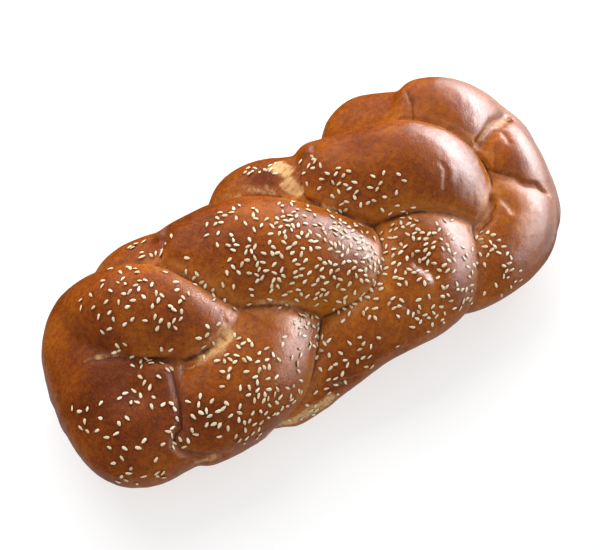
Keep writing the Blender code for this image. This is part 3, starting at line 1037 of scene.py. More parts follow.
    def store_crease_shade_and_dullness(self, tools: MeshTools, meeting: Meeting) -> None:
        """Store the painted crease shade and the dullness of each place, for the seams and the sharp folds.

        Args:
            tools: The crust's mesh.
            meeting: How its places lie to the strands.
        """
        places, tree = tools.places(), tools.tree()
        deep = meeting.angled * bell(meeting.seam, self.dull_width)
        # Painted crease shade, partly the seams' own darker colour.
        crease = meeting.angled * bell(meeting.seam, self.crease_shade_width)
        crease *= self.crease_shade_level + self.crease_shade_wander * ripples(places, wavelength=8.0, seed=41.0)
        for fold in (fold.draped(tree) for fold in FOLDS.values() if fold.dark):
            away, along = fold.measure(places)
            strength = fold.dark * fold.taper(along)
            crease = np.maximum(crease, strength * bell(away, self.crease_shade_width))
            deep = np.maximum(deep, strength * bell(away, self.dull_width))
        tools.keep("crease", crease)
        tools.keep("deep", deep)

    def store_tears(self, tools: MeshTools) -> None:
        """Store how pale each place is for the tears, and where it lies along and across their fibres.

        Args:
            tools: The crust's mesh.
        """
        places, tree = tools.places(), tools.tree()
        edge = ripples(places, wavelength=6.0, seed=21.0)
        edge = edge + self.finer * ripples(places, wavelength=2.2, seed=22.0)
        pale = np.zeros(len(places))
        fibre = np.zeros((len(places), 3))
        for tear in (tear.draped(tree) for tear in TEARS.values()):
            away, along = tear.measure(places)
            out = away / tear.width + self.torn_ragged * tear.ragged * edge
            share = tear.pale * smoothstep(*self.torn_edge, out) * tear.taper(along)
            stronger = share > pale
            pale = np.where(stronger, share, pale)
            fibre[stronger] = np.stack([along, away, np.zeros(len(places))], axis=1)[stronger] * MM
        tools.keep("pale", pale)
        tools.keep("fibre", fibre)


@dataclass(frozen=True)
class Sprinkle(Line):
    """Seeds strewn about a line: on which lobe, how far they spread, and how many to a square centimetre."""

    lobe: str = ""
    spread: float = 6.0
    per_cm2: float = 3.0


SPRINKLES = (
    Sprinkle(((-33, -16, 80), (0, -24, 79)), lobe="second_left", spread=17.0, per_cm2=5.5),
    Sprinkle(((8, -19, 79), (13, -39, 66)), lobe="second_left", spread=9.5, per_cm2=17.0),
    Sprinkle(((-18, -2, 86), (3, -25, 78)), lobe="second_left", spread=9.0, per_cm2=10.0),
    Sprinkle(((-44, -1, 84), (-15, -33, 71)), lobe="second_left", spread=9.0, per_cm2=7.0),
    Sprinkle(((-12, 14, 83), (-4, 4, 83)), lobe="second_left", spread=5.0, per_cm2=4.0),
    Sprinkle(((-41, 19, 85), (-27, 5, 87)), lobe="second_left", spread=8.0, per_cm2=2.6),
    Sprinkle(((-7, -39, 65), (8, -42, 63)), lobe="second_left", spread=6.0, per_cm2=6.0),
    Sprinkle(((35, -27, 69), (24, -45, 67)), lobe="third_right", spread=8.0, per_cm2=9.0),
    Sprinkle(((39, -28, 70), (57, -46, 70)), lobe="third_right", spread=7.0, per_cm2=6.0),
    Sprinkle(((39, -43, 69), (45, -66, 59)), lobe="third_right", spread=12.0, per_cm2=5.0),
    Sprinkle(((62, -54, 65), (49, -71, 49)), lobe="third_right", spread=6.0, per_cm2=4.0),
    Sprinkle(((6, -50, 60), (27, -69, 53)), lobe="third_right", spread=10.0, per_cm2=4.5),
    Sprinkle(((-25, -53, 46), (-8, -66, 45)), lobe="third_right", spread=9.0, per_cm2=2.6),
    Sprinkle(((-12, -43, 53), (10, -46, 62), (22, -38, 66)), spread=3.0, per_cm2=9.0),
    Sprinkle(((-32, -38, 57), (-28, -46, 47)), lobe="second_right", spread=7.0, per_cm2=8.0),
    Sprinkle(((-71, -42, 64), (-65, -61, 50)), lobe="second_right", spread=11.0, per_cm2=5.0),
    Sprinkle(((-101, -51, 57), (-78, -66, 43)), lobe="second_right", spread=9.0, per_cm2=3.6),
    Sprinkle(((-46, -48, 59), (-51, -62, 41)), lobe="second_right", spread=7.0, per_cm2=2.4),
    Sprinkle(((-67, 9, 76), (-58, -12, 66)), spread=4.0, per_cm2=7.0),
    Sprinkle(((-100, 24, 76), (-89, 2, 79)), lobe="near_left", spread=9.0, per_cm2=3.4),
    Sprinkle(((-115, 24, 70), (-95, -8, 75)), lobe="near_left", spread=12.0, per_cm2=1.8),
    Sprinkle(((-80, -3, 77), (-79, -21, 68)), lobe="near_left", spread=8.0, per_cm2=2.2),
    Sprinkle(((-116, 1, 62), (-112, -4, 62)), lobe="near_left", spread=3.5, per_cm2=6.0),
    Sprinkle(((-113, -9, 60), (-102, -22, 59)), spread=3.5, per_cm2=7.0),
    Sprinkle(((-113, -16, 58), (-114, -31, 60)), lobe="near_right", spread=7.0, per_cm2=3.6),
    Sprinkle(((-113, -35, 59), (-117, -52, 52)), lobe="near_right", spread=7.0, per_cm2=4.2),
    Sprinkle(((-145, -11, 53), (-147, -32, 53)), lobe="near_right", spread=6.0, per_cm2=1.6),
    Sprinkle(((-139, -33, 57), (-133, -56, 44)), lobe="near_right", spread=14.0, per_cm2=1.2),
    Sprinkle(((-145, -50, 40), (-140, -55, 29)), lobe="near_right", spread=4.0, per_cm2=4.0),
    Sprinkle(((19, 22, 79), (26, 1, 80)), lobe="third_left", spread=9.0, per_cm2=3.4),
    Sprinkle(((29, -5, 77), (48, -21, 73)), lobe="third_left", spread=5.0, per_cm2=2.8),
    Sprinkle(((35, -2, 84), (46, -12, 84)), lobe="third_left", spread=5.0, per_cm2=1.4),
    Sprinkle(((73, -58, 58), (81, -77, 38)), lobe="far_right", spread=10.0, per_cm2=3.2),
    Sprinkle(((-3, 55, 63), (7, 47, 71)), lobe="third_left", spread=3.5, per_cm2=4.5),
    Sprinkle(((-75, 45, 67), (-72, 29, 75)), lobe="second_left", spread=6.0, per_cm2=3.0),
    Sprinkle(((-49, -62, 13), (-39, -65, 26), (-30, -67, 32)), lobe="third_right", spread=6.0, per_cm2=4.0),
    Sprinkle(((-23, -43, 48), (-33, -56, 40)), spread=3.0, per_cm2=5.0),
    Sprinkle(((-108, -44, 58), (-114, -50, 54)), spread=3.0, per_cm2=6.0),
)


@dataclass
class Seeds:
    """Sesame seeds lying on the glaze, strewn by hand: thick in some patches and thin in others."""

    length: float = 3.1
    width: float = 1.92
    thick: float = 1.02
    taper: float = 0.42
    taper_power: float = 1.6
    flat_under: float = 0.62
    rim_glaze_and_shade_heights: tuple[float, float] = (0.22, -0.05)
    sides: int = 8
    rings: int = 7
    length_varies: float = 0.07
    plump_varies: float = 0.08
    tone_middle: float = 0.5
    tone_varies: float = 0.22
    plenty: float = 1.15
    cling: tuple[float, float] = (2.0, 0.4)
    spare_draws: int = 4
    spacing: float = 2.6
    close_spacing: float = 2.0
    close_share: float = 0.15
    touching: float = 0.9
    handful: int = 12
    proud: float = 0.3
    proud_varies: float = 0.08
    stacked: float = 0.45
    tip: float = 0.16
    # Radius of the darker ring round each seed: pooled glaze and painted contact shade.
    glaze_and_shade_halo: float = 2.3
    seed: int = 23

    def build(self, crust: bpy.types.Object, lobes: np.ndarray) -> bpy.types.Object:
        """Scatter the seeds over the crust.

        Args:
            crust: The finished crust.
            lobes: The number of each crust vertex's lobe.

        Returns:
            The seeds as one object, at the origin.
        """
        draw = np.random.default_rng(self.seed)
        mesh = bpy.data.meshes.new("sesame_seeds")
        heap = bmesh.new()
        places = self.places(crust, lobes, draw)
        for start in range(0, len(places), self.handful):
            shape = bmesh.new()
            layers = (shape.verts.layers.float.new("tone"), shape.verts.layers.float.new("rim_glaze_and_shade"))
            for place, normal in places[start:start + self.handful]:
                self.lay(shape, layers, place, normal, draw)
            shape.to_mesh(mesh)
            shape.free()
            heap.from_mesh(mesh)
        heap.to_mesh(mesh)
        heap.free()
        MeshTools(mesh).soften_shading()
        self.shade(crust, np.array([place for place, _ in places]))
        return show("sesame_seeds", mesh)

    def shade(self, crust: bpy.types.Object, places: np.ndarray) -> None:
        """Store on the crust how close it lies to a seed: pooled, browned glaze and painted contact shade.

        Args:
            crust: The finished crust.
            places: The seeds' places in millimetres.
        """
        tree = sorted_places(places)
        tools = MeshTools(crust.data)
        away = np.array([tree.find(place)[2] for place in tools.places()])
        tools.keep("glaze_and_shade_halo", smoothstep(self.glaze_and_shade_halo, 0.5 * self.glaze_and_shade_halo, away))

    def density(self, places: np.ndarray, lobes: np.ndarray, tree: KDTree) -> np.ndarray:
        """Find how thick the seeds lie.

        Args:
            places: Places in millimetres.
            lobes: The number of each place's lobe.
            tree: The crust's places, sorted.

        Returns:
            Seeds to the square centimetre at each place.
        """
        total = np.zeros(len(places))
        for patch in (patch.draped(tree) for patch in SPRINKLES):
            away, _ = patch.measure(places)
            here = lobes == LOBE_NAMES.index(patch.lobe) if patch.lobe else 1.0
            total = np.maximum(total, here * patch.per_cm2 * bell(away, patch.spread))
        return self.plenty * total

    def places(self, crust: bpy.types.Object, lobes: np.ndarray,
               draw: np.random.Generator) -> list[tuple[np.ndarray, np.ndarray]]:
        """Draw a place for each seed, none too close to another.

        Args:
            crust: The finished crust.
            lobes: The number of each crust vertex's lobe.
            draw: The random numbers.

        Returns:
            Each seed's place in millimetres and the crust's normal there.
        """
        mesh = crust.data
        mesh.calc_loop_triangles()
        count = len(mesh.loop_triangles)
        corners = np.empty(count * 3, dtype=np.int32)
        mesh.loop_triangles.foreach_get("vertices", corners)
        tools = MeshTools(mesh)
        spots = tools.places()[corners].reshape(-1, 3, 3)
        crosses = np.cross(spots[:, 1] - spots[:, 0], spots[:, 2] - spots[:, 0])
        areas = 0.5 * np.linalg.norm(crosses, axis=1)
        normals = tools.normals()[corners].reshape(-1, 3, 3).mean(axis=1)
        middles = spots.mean(axis=1)
        owners = lobes[corners.reshape(-1, 3)[:, 0]]
        up = np.clip(self.cling[0] * normals[:, 2] + self.cling[1], 0.0, 1.0)
        weights = areas * up * self.density(middles, owners, tools.tree()) / SQUARE_MM_TO_A_CM
        wanted = int(weights.sum())
        chosen = draw.choice(count, size=wanted * self.spare_draws, p=weights / weights.sum())
        shares = draw.dirichlet((1.0, 1.0, 1.0), size=wanted * self.spare_draws)
        taken: list[tuple[np.ndarray, np.ndarray]] = []
        held = np.empty((wanted, 3))
        for triangle, share in zip(chosen, shares):
            place = share @ spots[triangle]
            normal = normals[triangle] / np.linalg.norm(normals[triangle])
            nearest = np.linalg.norm(held[:len(taken)] - place, axis=1).min() if taken else np.inf
            spacing = self.close_spacing if draw.random() < self.close_share else self.spacing
            if nearest < spacing:
                continue
            held[len(taken)] = place
            lift = self.stacked * (nearest < self.touching * self.spacing)
            taken.append((place + normal * lift, normal))
            if len(taken) == wanted:
                break
        return taken

    def lay(self, shape: bmesh.types.BMesh, layers: tuple[bmesh.types.BMLayerItem, bmesh.types.BMLayerItem],
            place: np.ndarray, normal: np.ndarray, draw: np.random.Generator) -> None:
        """Make one seed, pointed at one end, and lay it on the crust.

        Args:
            shape: The handful of seeds that it joins.
            layers: Where its tone and its lower rim's glaze and painted shade are stored.
            place: Its place in millimetres.
            normal: The crust's normal there.
            draw: The random numbers.
        """
        verts = bmesh.ops.create_uvsphere(shape, u_segments=self.sides, v_segments=self.rings, radius=0.5,
                                          matrix=Matrix.Rotation(math.pi / 2, 4, "Y"))["verts"]
        size = draw.normal(1.0, self.length_varies)
        plump = draw.normal(1.0, self.plump_varies)
        shade = float(np.clip(draw.normal(self.tone_middle, self.tone_varies), 0.0, 1.0))
        tone, rim_glaze_and_shade = layers
        for vert in verts:
            x, y, z = vert.co
            narrow = 1.0 - self.taper * (x + 0.5) ** self.taper_power
            flat = self.flat_under if z < 0.0 else 1.0
            # The lower rim darkens: partly glaze, partly painted shade beneath the seed.
            vert[rim_glaze_and_shade] = float(smoothstep(*self.rim_glaze_and_shade_heights, z))
            vert.co = (x * self.length * size * MM, y * self.width * plump * narrow * MM,
                       z * self.thick * flat * narrow * MM)
            vert[tone] = shade
        laid = Vector(normal).to_track_quat("Z", "Y").to_matrix().to_4x4()
        spin = Matrix.Rotation(draw.uniform(0.0, 2.0 * math.pi), 4, "Z")
        tilt = Matrix.Rotation(draw.normal(0.0, self.tip), 4, "Y")
        roll = Matrix.Rotation(draw.normal(0.0, self.tip), 4, "X")
        spot = Vector(place + normal * (self.proud + draw.normal(0.0, self.proud_varies))) * MM
        bmesh.ops.transform(shape, matrix=Matrix.Translation(spot) @ laid @ spin @ tilt @ roll, verts=verts)


class Nodes:
    """A material's nodes, added and linked by short calls."""

    def __init__(self, name: str) -> None:
        """Start a material with its Principled shader.

        Args:
            name: The material's name.
        """
        self.material = bpy.data.materials.new(name)
        self.material.use_nodes = True
        self.tree = self.material.node_tree
        self.shader = self.tree.nodes["Principled BSDF"]
        self.object = self.add("ShaderNodeTexCoord").outputs["Object"]

    def add(self, kind: str, **settings: str) -> bpy.types.Node:
        """Add a node.

        Args:
            kind: Its kind.
            **settings: Its settings.

        Returns:
            The node.
        """
        node = self.tree.nodes.new(kind)
        for name, value in settings.items():
            setattr(node, name, value)
        return node

    def feed(self, socket: bpy.types.NodeSocket, value: Value) -> None:
        """Link a socket to another, or set a number or colour on it.

        Args:
            socket: The socket that takes the value.
            value: A socket, a number or a colour.
        """
        if isinstance(value, bpy.types.NodeSocket):
            self.tree.links.new(value, socket)
        else:
            socket.default_value = value

    def attribute(self, name: str, output: str = "Fac") -> bpy.types.NodeSocket:
        """Read a number or a vector that the mesh stores."""
        return self.add("ShaderNodeAttribute", attribute_name=name).outputs[output]

    def math(self, operation: str, *values: Value) -> bpy.types.NodeSocket:
        """Work out one number from others.

        Args:
            operation: What is done with them.
            *values: The numbers.

        Returns:
            The result.
        """
        node = self.add("ShaderNodeMath", operation=operation)
        for socket, value in zip(node.inputs, values):
            self.feed(socket, value)
        return node.outputs[0]

    def spread(self, value: Value, low: float, high: float, to_low: float = 0.0,
               to_high: float = 1.0) -> bpy.types.NodeSocket:
        """Stretch a range of numbers smoothly onto another, and clamp it.

        Args:
            value: The number.
            low: Where its range starts.
            high: Where its range ends.
            to_low: What low becomes.
            to_high: What high becomes.

        Returns:
            The stretched number.
        """
        node = self.add("ShaderNodeMapRange", interpolation_type="SMOOTHSTEP")
        for name, number in (("Value", value), ("From Min", low), ("From Max", high), ("To Min", to_low),
                             ("To Max", to_high)):
            self.feed(node.inputs[name], number)
        return node.outputs["Result"]

    def sway(self, value: Value, reach: float, low: float = 0.3, high: float = 0.7) -> bpy.types.NodeSocket:
        """Turn soft random numbers into a shift of up to a reach either way."""
        return self.spread(value, low, high, -reach, reach)

    def noise(self, scale: float, detail: float = 2.0, roughness: float = 0.5,
              vector: bpy.types.NodeSocket | None = None) -> bpy.types.NodeSocket:
        """Make soft random numbers, about 0.5.

        Args:
            scale: How many bumps there are to the metre.
            detail: How many finer layers are added.
            roughness: How strong the finer ones are.
            vector: What it is drawn on, where that isn't the object's own places.

        Returns:
            The numbers.
        """
        node = self.add("ShaderNodeTexNoise", noise_dimensions="3D")
        self.feed(node.inputs["Vector"], vector or self.object)
        for name, number in (("Scale", scale), ("Detail", detail), ("Roughness", roughness)):
            self.feed(node.inputs[name], number)
        return node.outputs["Fac"]

    def cells(self, scale: float) -> bpy.types.NodeSocket:
        """Find the distance to the middle of the nearest of many scattered cells.

        Args:
            scale: How many cells there are to the metre.

        Returns:
            The distance, in cells.
        """
        node = self.add("ShaderNodeTexVoronoi", feature="F1")
        self.feed(node.inputs["Vector"], self.object)
        self.feed(node.inputs["Scale"], scale)
        return node.outputs["Distance"]

    def stretch(self, vector: bpy.types.NodeSocket, scale: Point) -> bpy.types.NodeSocket:
        """Scale a vector by different amounts along its axes.

        Args:
            vector: The vector.
            scale: The three amounts.

        Returns:
            The scaled vector.
        """
        node = self.add("ShaderNodeMapping")
        self.feed(node.inputs["Vector"], vector)
        self.feed(node.inputs["Scale"], scale)
        return node.outputs["Vector"]

    def mix(self, share: Value, one: Value, two: Value) -> bpy.types.NodeSocket:
        """Mix two colours.

        Args:
            share: How much of the second there is.
            one: The first colour.
            two: The second colour.

        Returns:
            The mixed colour.
        """
        node = self.add("ShaderNodeMix", data_type="RGBA", blend_type="MIX")
        self.feed(node.inputs["Factor"], share)
        colours = [socket for socket in node.inputs if socket.type == "RGBA"]
        self.feed(colours[0], one)
        self.feed(colours[1], two)
        return next(socket for socket in node.outputs if socket.type == "RGBA")

    def ramp(self, value: Value, stops: tuple[tuple[float, Paint], ...]) -> bpy.types.NodeSocket:
        """Turn a number into a colour.

        Args:
            value: The number.
            stops: Numbers and the colours that they become.

        Returns:
            The colour.
        """
        node = self.add("ShaderNodeValToRGB")
        self.feed(node.inputs["Fac"], value)
        while len(node.color_ramp.elements) < len(stops):
            node.color_ramp.elements.new(0.5)
        for element, (position, colour) in zip(node.color_ramp.elements, stops):
            element.position = position
            element.color = colour
        return node.outputs["Color"]

    def bump(self, height: Value, distance: float,
             normal: bpy.types.NodeSocket | None = None) -> bpy.types.NodeSocket:
        """Raise the surface.

        Args:
            height: How high it rises, of the distance.
            distance: The distance, in millimetres.
            normal: The bumps that these are added to.

        Returns:
            The new normal.
        """
        node = self.add("ShaderNodeBump")
        self.feed(node.inputs["Distance"], distance * MM)
        self.feed(node.inputs["Strength"], 1.0)
        self.feed(node.inputs["Height"], height)
        if normal is not None:
            self.feed(node.inputs["Normal"], normal)
        return node.outputs["Normal"]


@dataclass(frozen=True)
class CrustFinish:
    """Egg-glazed crust: golden brown, darker where it baked longest, pale and fibrous where it tore."""

    golden: Paint = srgb(192, 116, 28)
    amber: Paint = srgb(166, 87, 16)
    brown: Paint = srgb(136, 63, 12)
    dark: Paint = srgb(100, 42, 10)
    torn: Paint = srgb(184, 116, 56)
    cream: Paint = srgb(214, 170, 112)
    # Painted crease shade in the seams and sharp folds, partly their own darker colour.
    seam: Paint = srgb(70, 27, 9)
    speck: Paint = srgb(58, 24, 20)
    fleck: Paint = srgb(190, 122, 62)
    sole: Paint = srgb(176, 112, 62)
    blotch_sway: float = 0.13
    mottle_sway: float = 0.13
    grain_sway: float = 0.12
    # How much darker the crust is round each seed: pooled glaze and painted contact shade.
    glaze_and_shade_halo_brown: float = 0.16
    fleck_share: float = 0.35
    speck_share: float = 0.7
    sole_share: float = 0.9
    crease_shade_share: float = 0.92
    fibre_scale: Point = (900.0, 130.0, 1.0)
    roughness: float = 0.26
    roughness_less: float = 0.04
    roughness_more: float = 0.05
    dull_more: float = 0.45

    def material(self) -> bpy.types.Material:
        """Make the crust's material.

        Returns:
            The material.
        """
        nodes = Nodes("crust")
        pale, sole = nodes.attribute("pale"), nodes.attribute("sole")
        mottle = nodes.noise(scale=330.0, detail=4.0, roughness=0.65)
        threads = nodes.noise(scale=1.0, detail=3.0, roughness=0.6,
                              vector=nodes.stretch(nodes.attribute("fibre", "Vector"), self.fibre_scale))
        colour = self.flecked(nodes, self.baked(nodes, mottle))
        colour = self.torn_open(nodes, colour, pale, mottle, threads)
        colour = nodes.mix(nodes.spread(sole, 0.1, 0.9, to_high=self.sole_share), colour, self.sole)
        colour = self.specked(nodes, colour)
        # Painted crease shade over the crust's colour.
        crease = nodes.spread(nodes.attribute("crease"), 0.2, 1.0, to_high=self.crease_shade_share)
        nodes.feed(nodes.shader.inputs["Base Color"], nodes.mix(crease, colour, self.seam))
        nodes.feed(nodes.shader.inputs["Roughness"], self.dulled(nodes, pale, sole, mottle))
        nodes.feed(nodes.shader.inputs["Normal"], self.skin(nodes, pale, mottle, threads))
        return nodes.material

    def baked(self, nodes: Nodes, mottle: Value) -> bpy.types.NodeSocket:
        """Brown the glaze as it baked, unevenly at three scales, and darker beside the seeds: pooled glaze
        and painted contact shade.

        Args:
            nodes: The material's nodes.
            mottle: Its middle scale of unevenness.

        Returns:
            The colour.
        """
        blotch = nodes.noise(scale=42.0, detail=3.0, roughness=0.55)
        grain = nodes.noise(scale=1500.0, detail=3.0, roughness=0.6)
        brown = nodes.math("ADD", nodes.attribute("bake_and_shade"), nodes.sway(blotch, self.blotch_sway))
        brown = nodes.math("ADD", brown, nodes.sway(mottle, self.mottle_sway))
        brown = nodes.math("ADD", brown, nodes.sway(grain, self.grain_sway, low=0.35, high=0.65))
        # Darker round each seed: pooled glaze and painted contact shade.
        brown = nodes.math("ADD", brown, nodes.math("MULTIPLY", nodes.attribute("glaze_and_shade_halo"), self.glaze_and_shade_halo_brown))
        stops = ((0.05, self.golden), (0.36, self.amber), (0.66, self.brown), (1.0, self.dark))
        return nodes.ramp(brown, stops)

    def flecked(self, nodes: Nodes, colour: Value) -> bpy.types.NodeSocket:
        """Add fine light flecks here and there.

        Args:
            nodes: The material's nodes.
            colour: The colour under them.

        Returns:
            The colour with them.
        """
        where = nodes.spread(nodes.noise(scale=90.0, detail=1.0), 0.45, 0.65, to_high=self.fleck_share)
        flecks = nodes.math("MULTIPLY", nodes.spread(nodes.cells(scale=760.0), 0.3, 0.12), where)
        return nodes.mix(flecks, colour, self.fleck)

    def specked(self, nodes: Nodes, colour: Value) -> bpy.types.NodeSocket:
        """Add small dark specks here and there, where the glaze blistered.

        Args:
            nodes: The material's nodes.
            colour: The colour under them.

        Returns:
            The colour with them.
        """
        where = nodes.spread(nodes.noise(scale=120.0, detail=1.0), 0.42, 0.6)
        specks = nodes.math("MULTIPLY", nodes.spread(nodes.cells(scale=300.0), 0.2, 0.08), where)
        return nodes.mix(nodes.math("MULTIPLY", specks, self.speck_share), colour, self.speck)

    def torn_open(self, nodes: Nodes, colour: Value, pale: Value, mottle: Value,
                  threads: Value) -> bpy.types.NodeSocket:
        """Show the pale, stringy dough in the tears.

        Args:
            nodes: The material's nodes.
            colour: The glaze's colour.
            pale: How torn the crust is.
            mottle: The crust's middle scale of unevenness.
            threads: The torn dough's strings.

        Returns:
            The colour of both.
        """
        strings = nodes.math("MULTIPLY", threads, 0.55)
        strings = nodes.math("ADD", strings, nodes.math("MULTIPLY", mottle, 0.45))
        whiter = nodes.math("ADD", strings, nodes.math("MULTIPLY", pale, 0.22))
        torn = nodes.mix(nodes.spread(whiter, 0.48, 0.74), self.torn, self.cream)
        torn = nodes.mix(nodes.spread(strings, 0.5, 0.38, to_high=0.4), torn, self.amber)
        ragged = nodes.math("ADD", pale, nodes.sway(mottle, 0.22))
        return nodes.mix(nodes.spread(ragged, 0.2, 0.85), colour, torn)

    def dulled(self, nodes: Nodes, pale: Value, sole: Value, mottle: Value) -> bpy.types.NodeSocket:
        """Dull the glaze in the tears and seams and underneath, where the brush didn't reach.

        Args:
            nodes: The material's nodes.
            pale: How torn the crust is.
            sole: How far underneath it lies.
            mottle: Its middle scale of unevenness.

        Returns:
            The roughness.
        """
        dull = nodes.math("MAXIMUM", nodes.spread(pale, 0.2, 0.7), sole)
        dull = nodes.math("MAXIMUM", dull, nodes.spread(nodes.attribute("deep"), 0.1, 0.7))
        rough = nodes.spread(mottle, 0.3, 0.7, self.roughness - self.roughness_less,
                             self.roughness + self.roughness_more)
        return nodes.math("ADD", rough, nodes.math("MULTIPLY", dull, self.dull_more))

    def skin(self, nodes: Nodes, pale: Value, mottle: Value, threads: Value) -> bpy.types.NodeSocket:
        """Raise the skin's waves, grain and pores, and the strings in its tears.

        Args:
            nodes: The material's nodes.
            pale: How torn the crust is.
            mottle: Its middle scale of unevenness.
            threads: The torn dough's strings.

        Returns:
            The normal.
        """
        skin = nodes.bump(nodes.noise(scale=150.0), distance=0.14)
        skin = nodes.bump(mottle, distance=0.09, normal=skin)
        skin = nodes.bump(nodes.spread(nodes.cells(scale=820.0), 0.0, 0.55), distance=0.05, normal=skin)
        strings = nodes.math("MULTIPLY", threads, nodes.spread(pale, 0.15, 0.6))
        return nodes.bump(strings, distance=0.3, normal=skin)


@dataclass(frozen=True)
class SeedFinish:
    """Hulled sesame: cream, some lightly toasted, browner round its lower rim (glaze and painted shade)."""

    cream: Paint = srgb(250, 238, 208)
    straw: Paint = srgb(238, 218, 176)
    toasted: Paint = srgb(214, 182, 136)
    # The lower rim's colour: partly glaze, partly painted shade.
    rim_glaze_and_shade: Paint = srgb(150, 92, 44)
    rim_glaze_and_shade_share: float = 0.8
    tone_sway: float = 0.12
    roughness: float = 0.34

    def material(self) -> bpy.types.Material:
        """Make the seeds' material.

        Returns:
            The material.
        """
        nodes = Nodes("sesame")
        uneven = nodes.sway(nodes.noise(scale=900.0), self.tone_sway)
        tone = nodes.math("ADD", nodes.attribute("tone"), uneven)
        colour = nodes.ramp(tone, ((0.1, self.cream), (0.6, self.straw), (0.98, self.toasted)))
        rim_glaze_and_shade = nodes.spread(nodes.attribute("rim_glaze_and_shade"), 0.1, 0.9, to_high=self.rim_glaze_and_shade_share)
        nodes.feed(nodes.shader.inputs["Base Color"], nodes.mix(rim_glaze_and_shade, colour, self.rim_glaze_and_shade))
        nodes.shader.inputs["Roughness"].default_value = self.roughness
        nodes.feed(nodes.shader.inputs["Normal"], nodes.bump(nodes.noise(scale=1400.0), distance=0.05))
        return nodes.material


def toward(bearing: float, rise: float) -> Vector:
    """The direction at a bearing from +X and a rise above the floor, both in degrees."""
    a, e = math.radians(bearing), math.radians(rise)
    return Vector((math.cos(e) * math.cos(a), math.cos(e) * math.sin(a), math.sin(e)))


@dataclass(frozen=True)
class Lamp:
    """A wide soft lamp that faces the loaf: its bearing from +X, its angle above the floor and its size.

    One that isn't mirrored leaves no highlight on the glaze, and one that doesn't light leaves nothing else.
    """

    name: str
    bearing: float
    rise: float
    width: float
    height: float
    power: float
    distance: float = 1.0
    colour: Colour = (1.0, 1.0, 1.0)
    mirrored: bool = True
    lights: bool = True

    def build(self) -> bpy.types.Object:
        """Hang the lamp.

        Returns:
            The lamp.
        """
        light = bpy.data.lights.new(self.name, "AREA")
        light.shape = "RECTANGLE"
        light.size = self.width
        light.size_y = self.height
        light.energy = self.power
        light.color = self.colour
        lamp = bpy.data.objects.new(self.name, light)
        heading = toward(self.bearing, self.rise)
        turn = heading.to_track_quat("Z", "Y").to_matrix().to_4x4()
        lamp.matrix_world = Matrix.Translation(heading * self.distance) @ turn
        lamp.visible_glossy = self.mirrored
        lamp.visible_diffuse = self.lights
        bpy.context.scene.collection.objects.link(lamp)
        return lamp


# The window's daylight is a little cooler than the room's.
COOL = (0.9, 0.95, 1.0)

LAMPS = (
    Lamp("window", bearing=-6.0, rise=15.0, width=2.4, height=0.7, power=20.0, colour=COOL, lights=False),
    Lamp(
        "window_middle", bearing=-5.0, rise=21.0, width=1.4, height=0.5, power=13.0, colour=COOL,
        lights=False),
    Lamp(
        "window_core", bearing=-5.0, rise=28.0, width=0.7, height=0.34, power=7.0, colour=COOL, lights=False),
    Lamp(
        "window_top", bearing=-5.0, rise=42.0, width=1.3, height=0.4, power=5.0, colour=COOL, lights=False),
    Lamp(
        "window_far", bearing=80.0, rise=16.0, width=1.2, height=0.5, power=0.5, colour=COOL, lights=False),
    Lamp(
        "window_bounce", bearing=-8.0, rise=-18.0, width=2.2, height=0.5, power=4.0, colour=COOL,
        lights=False),
    Lamp("table", bearing=0.0, rise=-90.0, width=2.4, height=2.4, power=4.0, lights=False),
    Lamp("daylight", bearing=35.0, rise=10.0, width=1.0, height=1.0, power=14.0, mirrored=False),
    Lamp("daylight_far", bearing=80.0, rise=45.0, width=1.0, height=1.0, power=10.0, mirrored=False),
)


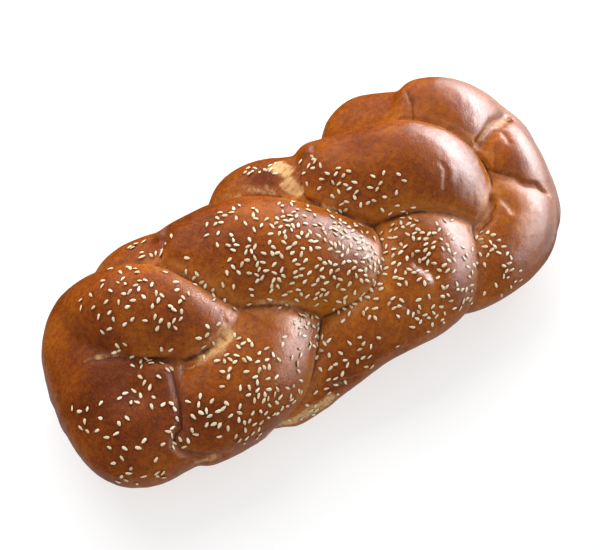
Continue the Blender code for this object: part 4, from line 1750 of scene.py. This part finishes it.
@dataclass
class Studio:
    """A white floor, soft daylight from the right, and the camera at the photograph's angle.

    The yaw, elevation and roll are in degrees, the distance and the target in millimetres, and the focal
    length and the aim in pixels of the image.
    """

    image_width: float = 600.0
    image_height: float = 550.0
    sensor: float = 36.0
    yaw: float = 38.05
    elevation: float = 57.99
    roll: float = 2.85
    distance: float = 513.91
    focal: float = 944.91
    aim_x: float = 293.75
    aim_y: float = 280.15
    target: Point = (-12.25, -3.86, 35.0)
    nearest: float = 0.01
    floor_size: float = 6.0
    floor_roughness: float = 0.9
    floor_colour: Paint = (0.4, 0.4, 0.4, 1.0)
    floor_glow: float = 0.64
    white: Paint = (1.0, 1.0, 1.0, 1.0)
    sky_strength: float = 0.68

    def axes(self) -> tuple[Vector, Vector, Vector]:
        """Turn the camera's angles into directions.

        Returns:
            Its right, up and back.
        """
        a, e, r = (math.radians(angle) for angle in (self.yaw, self.elevation, self.roll))
        back = Vector((-math.cos(e) * math.sin(a), -math.cos(e) * math.cos(a), math.sin(e)))
        level = Vector((math.cos(a), -math.sin(a), 0.0))
        rise = back.cross(level)
        right = math.cos(r) * level + math.sin(r) * rise
        up = -math.sin(r) * level + math.cos(r) * rise
        return right, up, back

    def camera(self) -> bpy.types.Object:
        """Stand the camera at the photograph's angle.

        Returns:
            The camera.
        """
        right, up, back = self.axes()
        lens = bpy.data.cameras.new("camera")
        lens.sensor_width = self.sensor
        lens.lens = self.focal / self.image_width * self.sensor
        lens.shift_x = (0.5 * self.image_width - self.aim_x) / self.image_width
        lens.shift_y = (self.aim_y - 0.5 * self.image_height) / self.image_width
        lens.clip_start = self.nearest
        stand = Matrix((right, up, back)).transposed().to_4x4()
        stand.translation = (Vector(self.target) + back * self.distance) * MM
        camera = bpy.data.objects.new("camera", lens)
        camera.matrix_world = stand
        bpy.context.scene.collection.objects.link(camera)
        bpy.context.scene.camera = camera
        return camera

    def floor(self) -> bpy.types.Object:
        """Lay a plain pale floor.

        Returns:
            The floor.
        """
        shape = bmesh.new()
        bmesh.ops.create_grid(shape, x_segments=1, y_segments=1, size=0.5 * self.floor_size)
        mesh = bpy.data.meshes.new("floor")
        shape.to_mesh(mesh)
        shape.free()
        floor = show("floor", mesh)
        nodes = Nodes("floor")
        for name, value in (("Base Color", self.floor_colour), ("Roughness", self.floor_roughness),
                            ("Specular IOR Level", 0.0), ("Emission Color", self.white),
                            ("Emission Strength", self.floor_glow)):
            nodes.shader.inputs[name].default_value = value
        mesh.materials.append(nodes.material)
        floor.visible_diffuse = False
        floor.visible_glossy = False
        floor.visible_shadow = False
        return floor

    def sky(self) -> bpy.types.World:
        """Light the loaf softly from all round.

        Returns:
            The world.
        """
        world = bpy.data.worlds.new("sky")
        world.use_nodes = True
        background = world.node_tree.nodes["Background"]
        background.inputs["Color"].default_value = self.white
        background.inputs["Strength"].default_value = self.sky_strength
        world.cycles_visibility.glossy = False
        bpy.context.scene.world = world
        return world

    def build(self) -> None:
        """Set the floor, sky, lamps, camera and the way colours are shown."""
        self.floor()
        self.sky()
        for lamp in LAMPS:
            lamp.build()
        self.camera()
        bpy.context.scene.view_settings.view_transform = "Standard"
        bpy.context.scene.view_settings.look = "None"


def dress(piece: bpy.types.Object, material: bpy.types.Material) -> None:
    """Give a finished piece its material, attach it to the loaf's body, and hide the solid that it stands in
    for.

    Args:
        piece: The finished piece.
        material: Its material.
    """
    piece.data.materials.clear()
    piece.data.materials.append(material)
    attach(piece, BODY)
    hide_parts(NODE)
    log.info("%s: %d faces", piece.name, len(piece.data.polygons))


def main() -> None:
    """Build the studio, the crust and its seeds."""
    logging.basicConfig(level=logging.INFO, format="%(name)s %(message)s")
    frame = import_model()
    log.info("solids: %s", ", ".join(frame["nodes"]))
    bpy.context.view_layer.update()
    Studio().build()
    crust, lobes = Crust().build()
    dress(crust, CrustFinish().material())
    seeds = Seeds().build(crust, lobes)
    dress(seeds, SeedFinish().material())


if __name__ == "__main__":
    main()
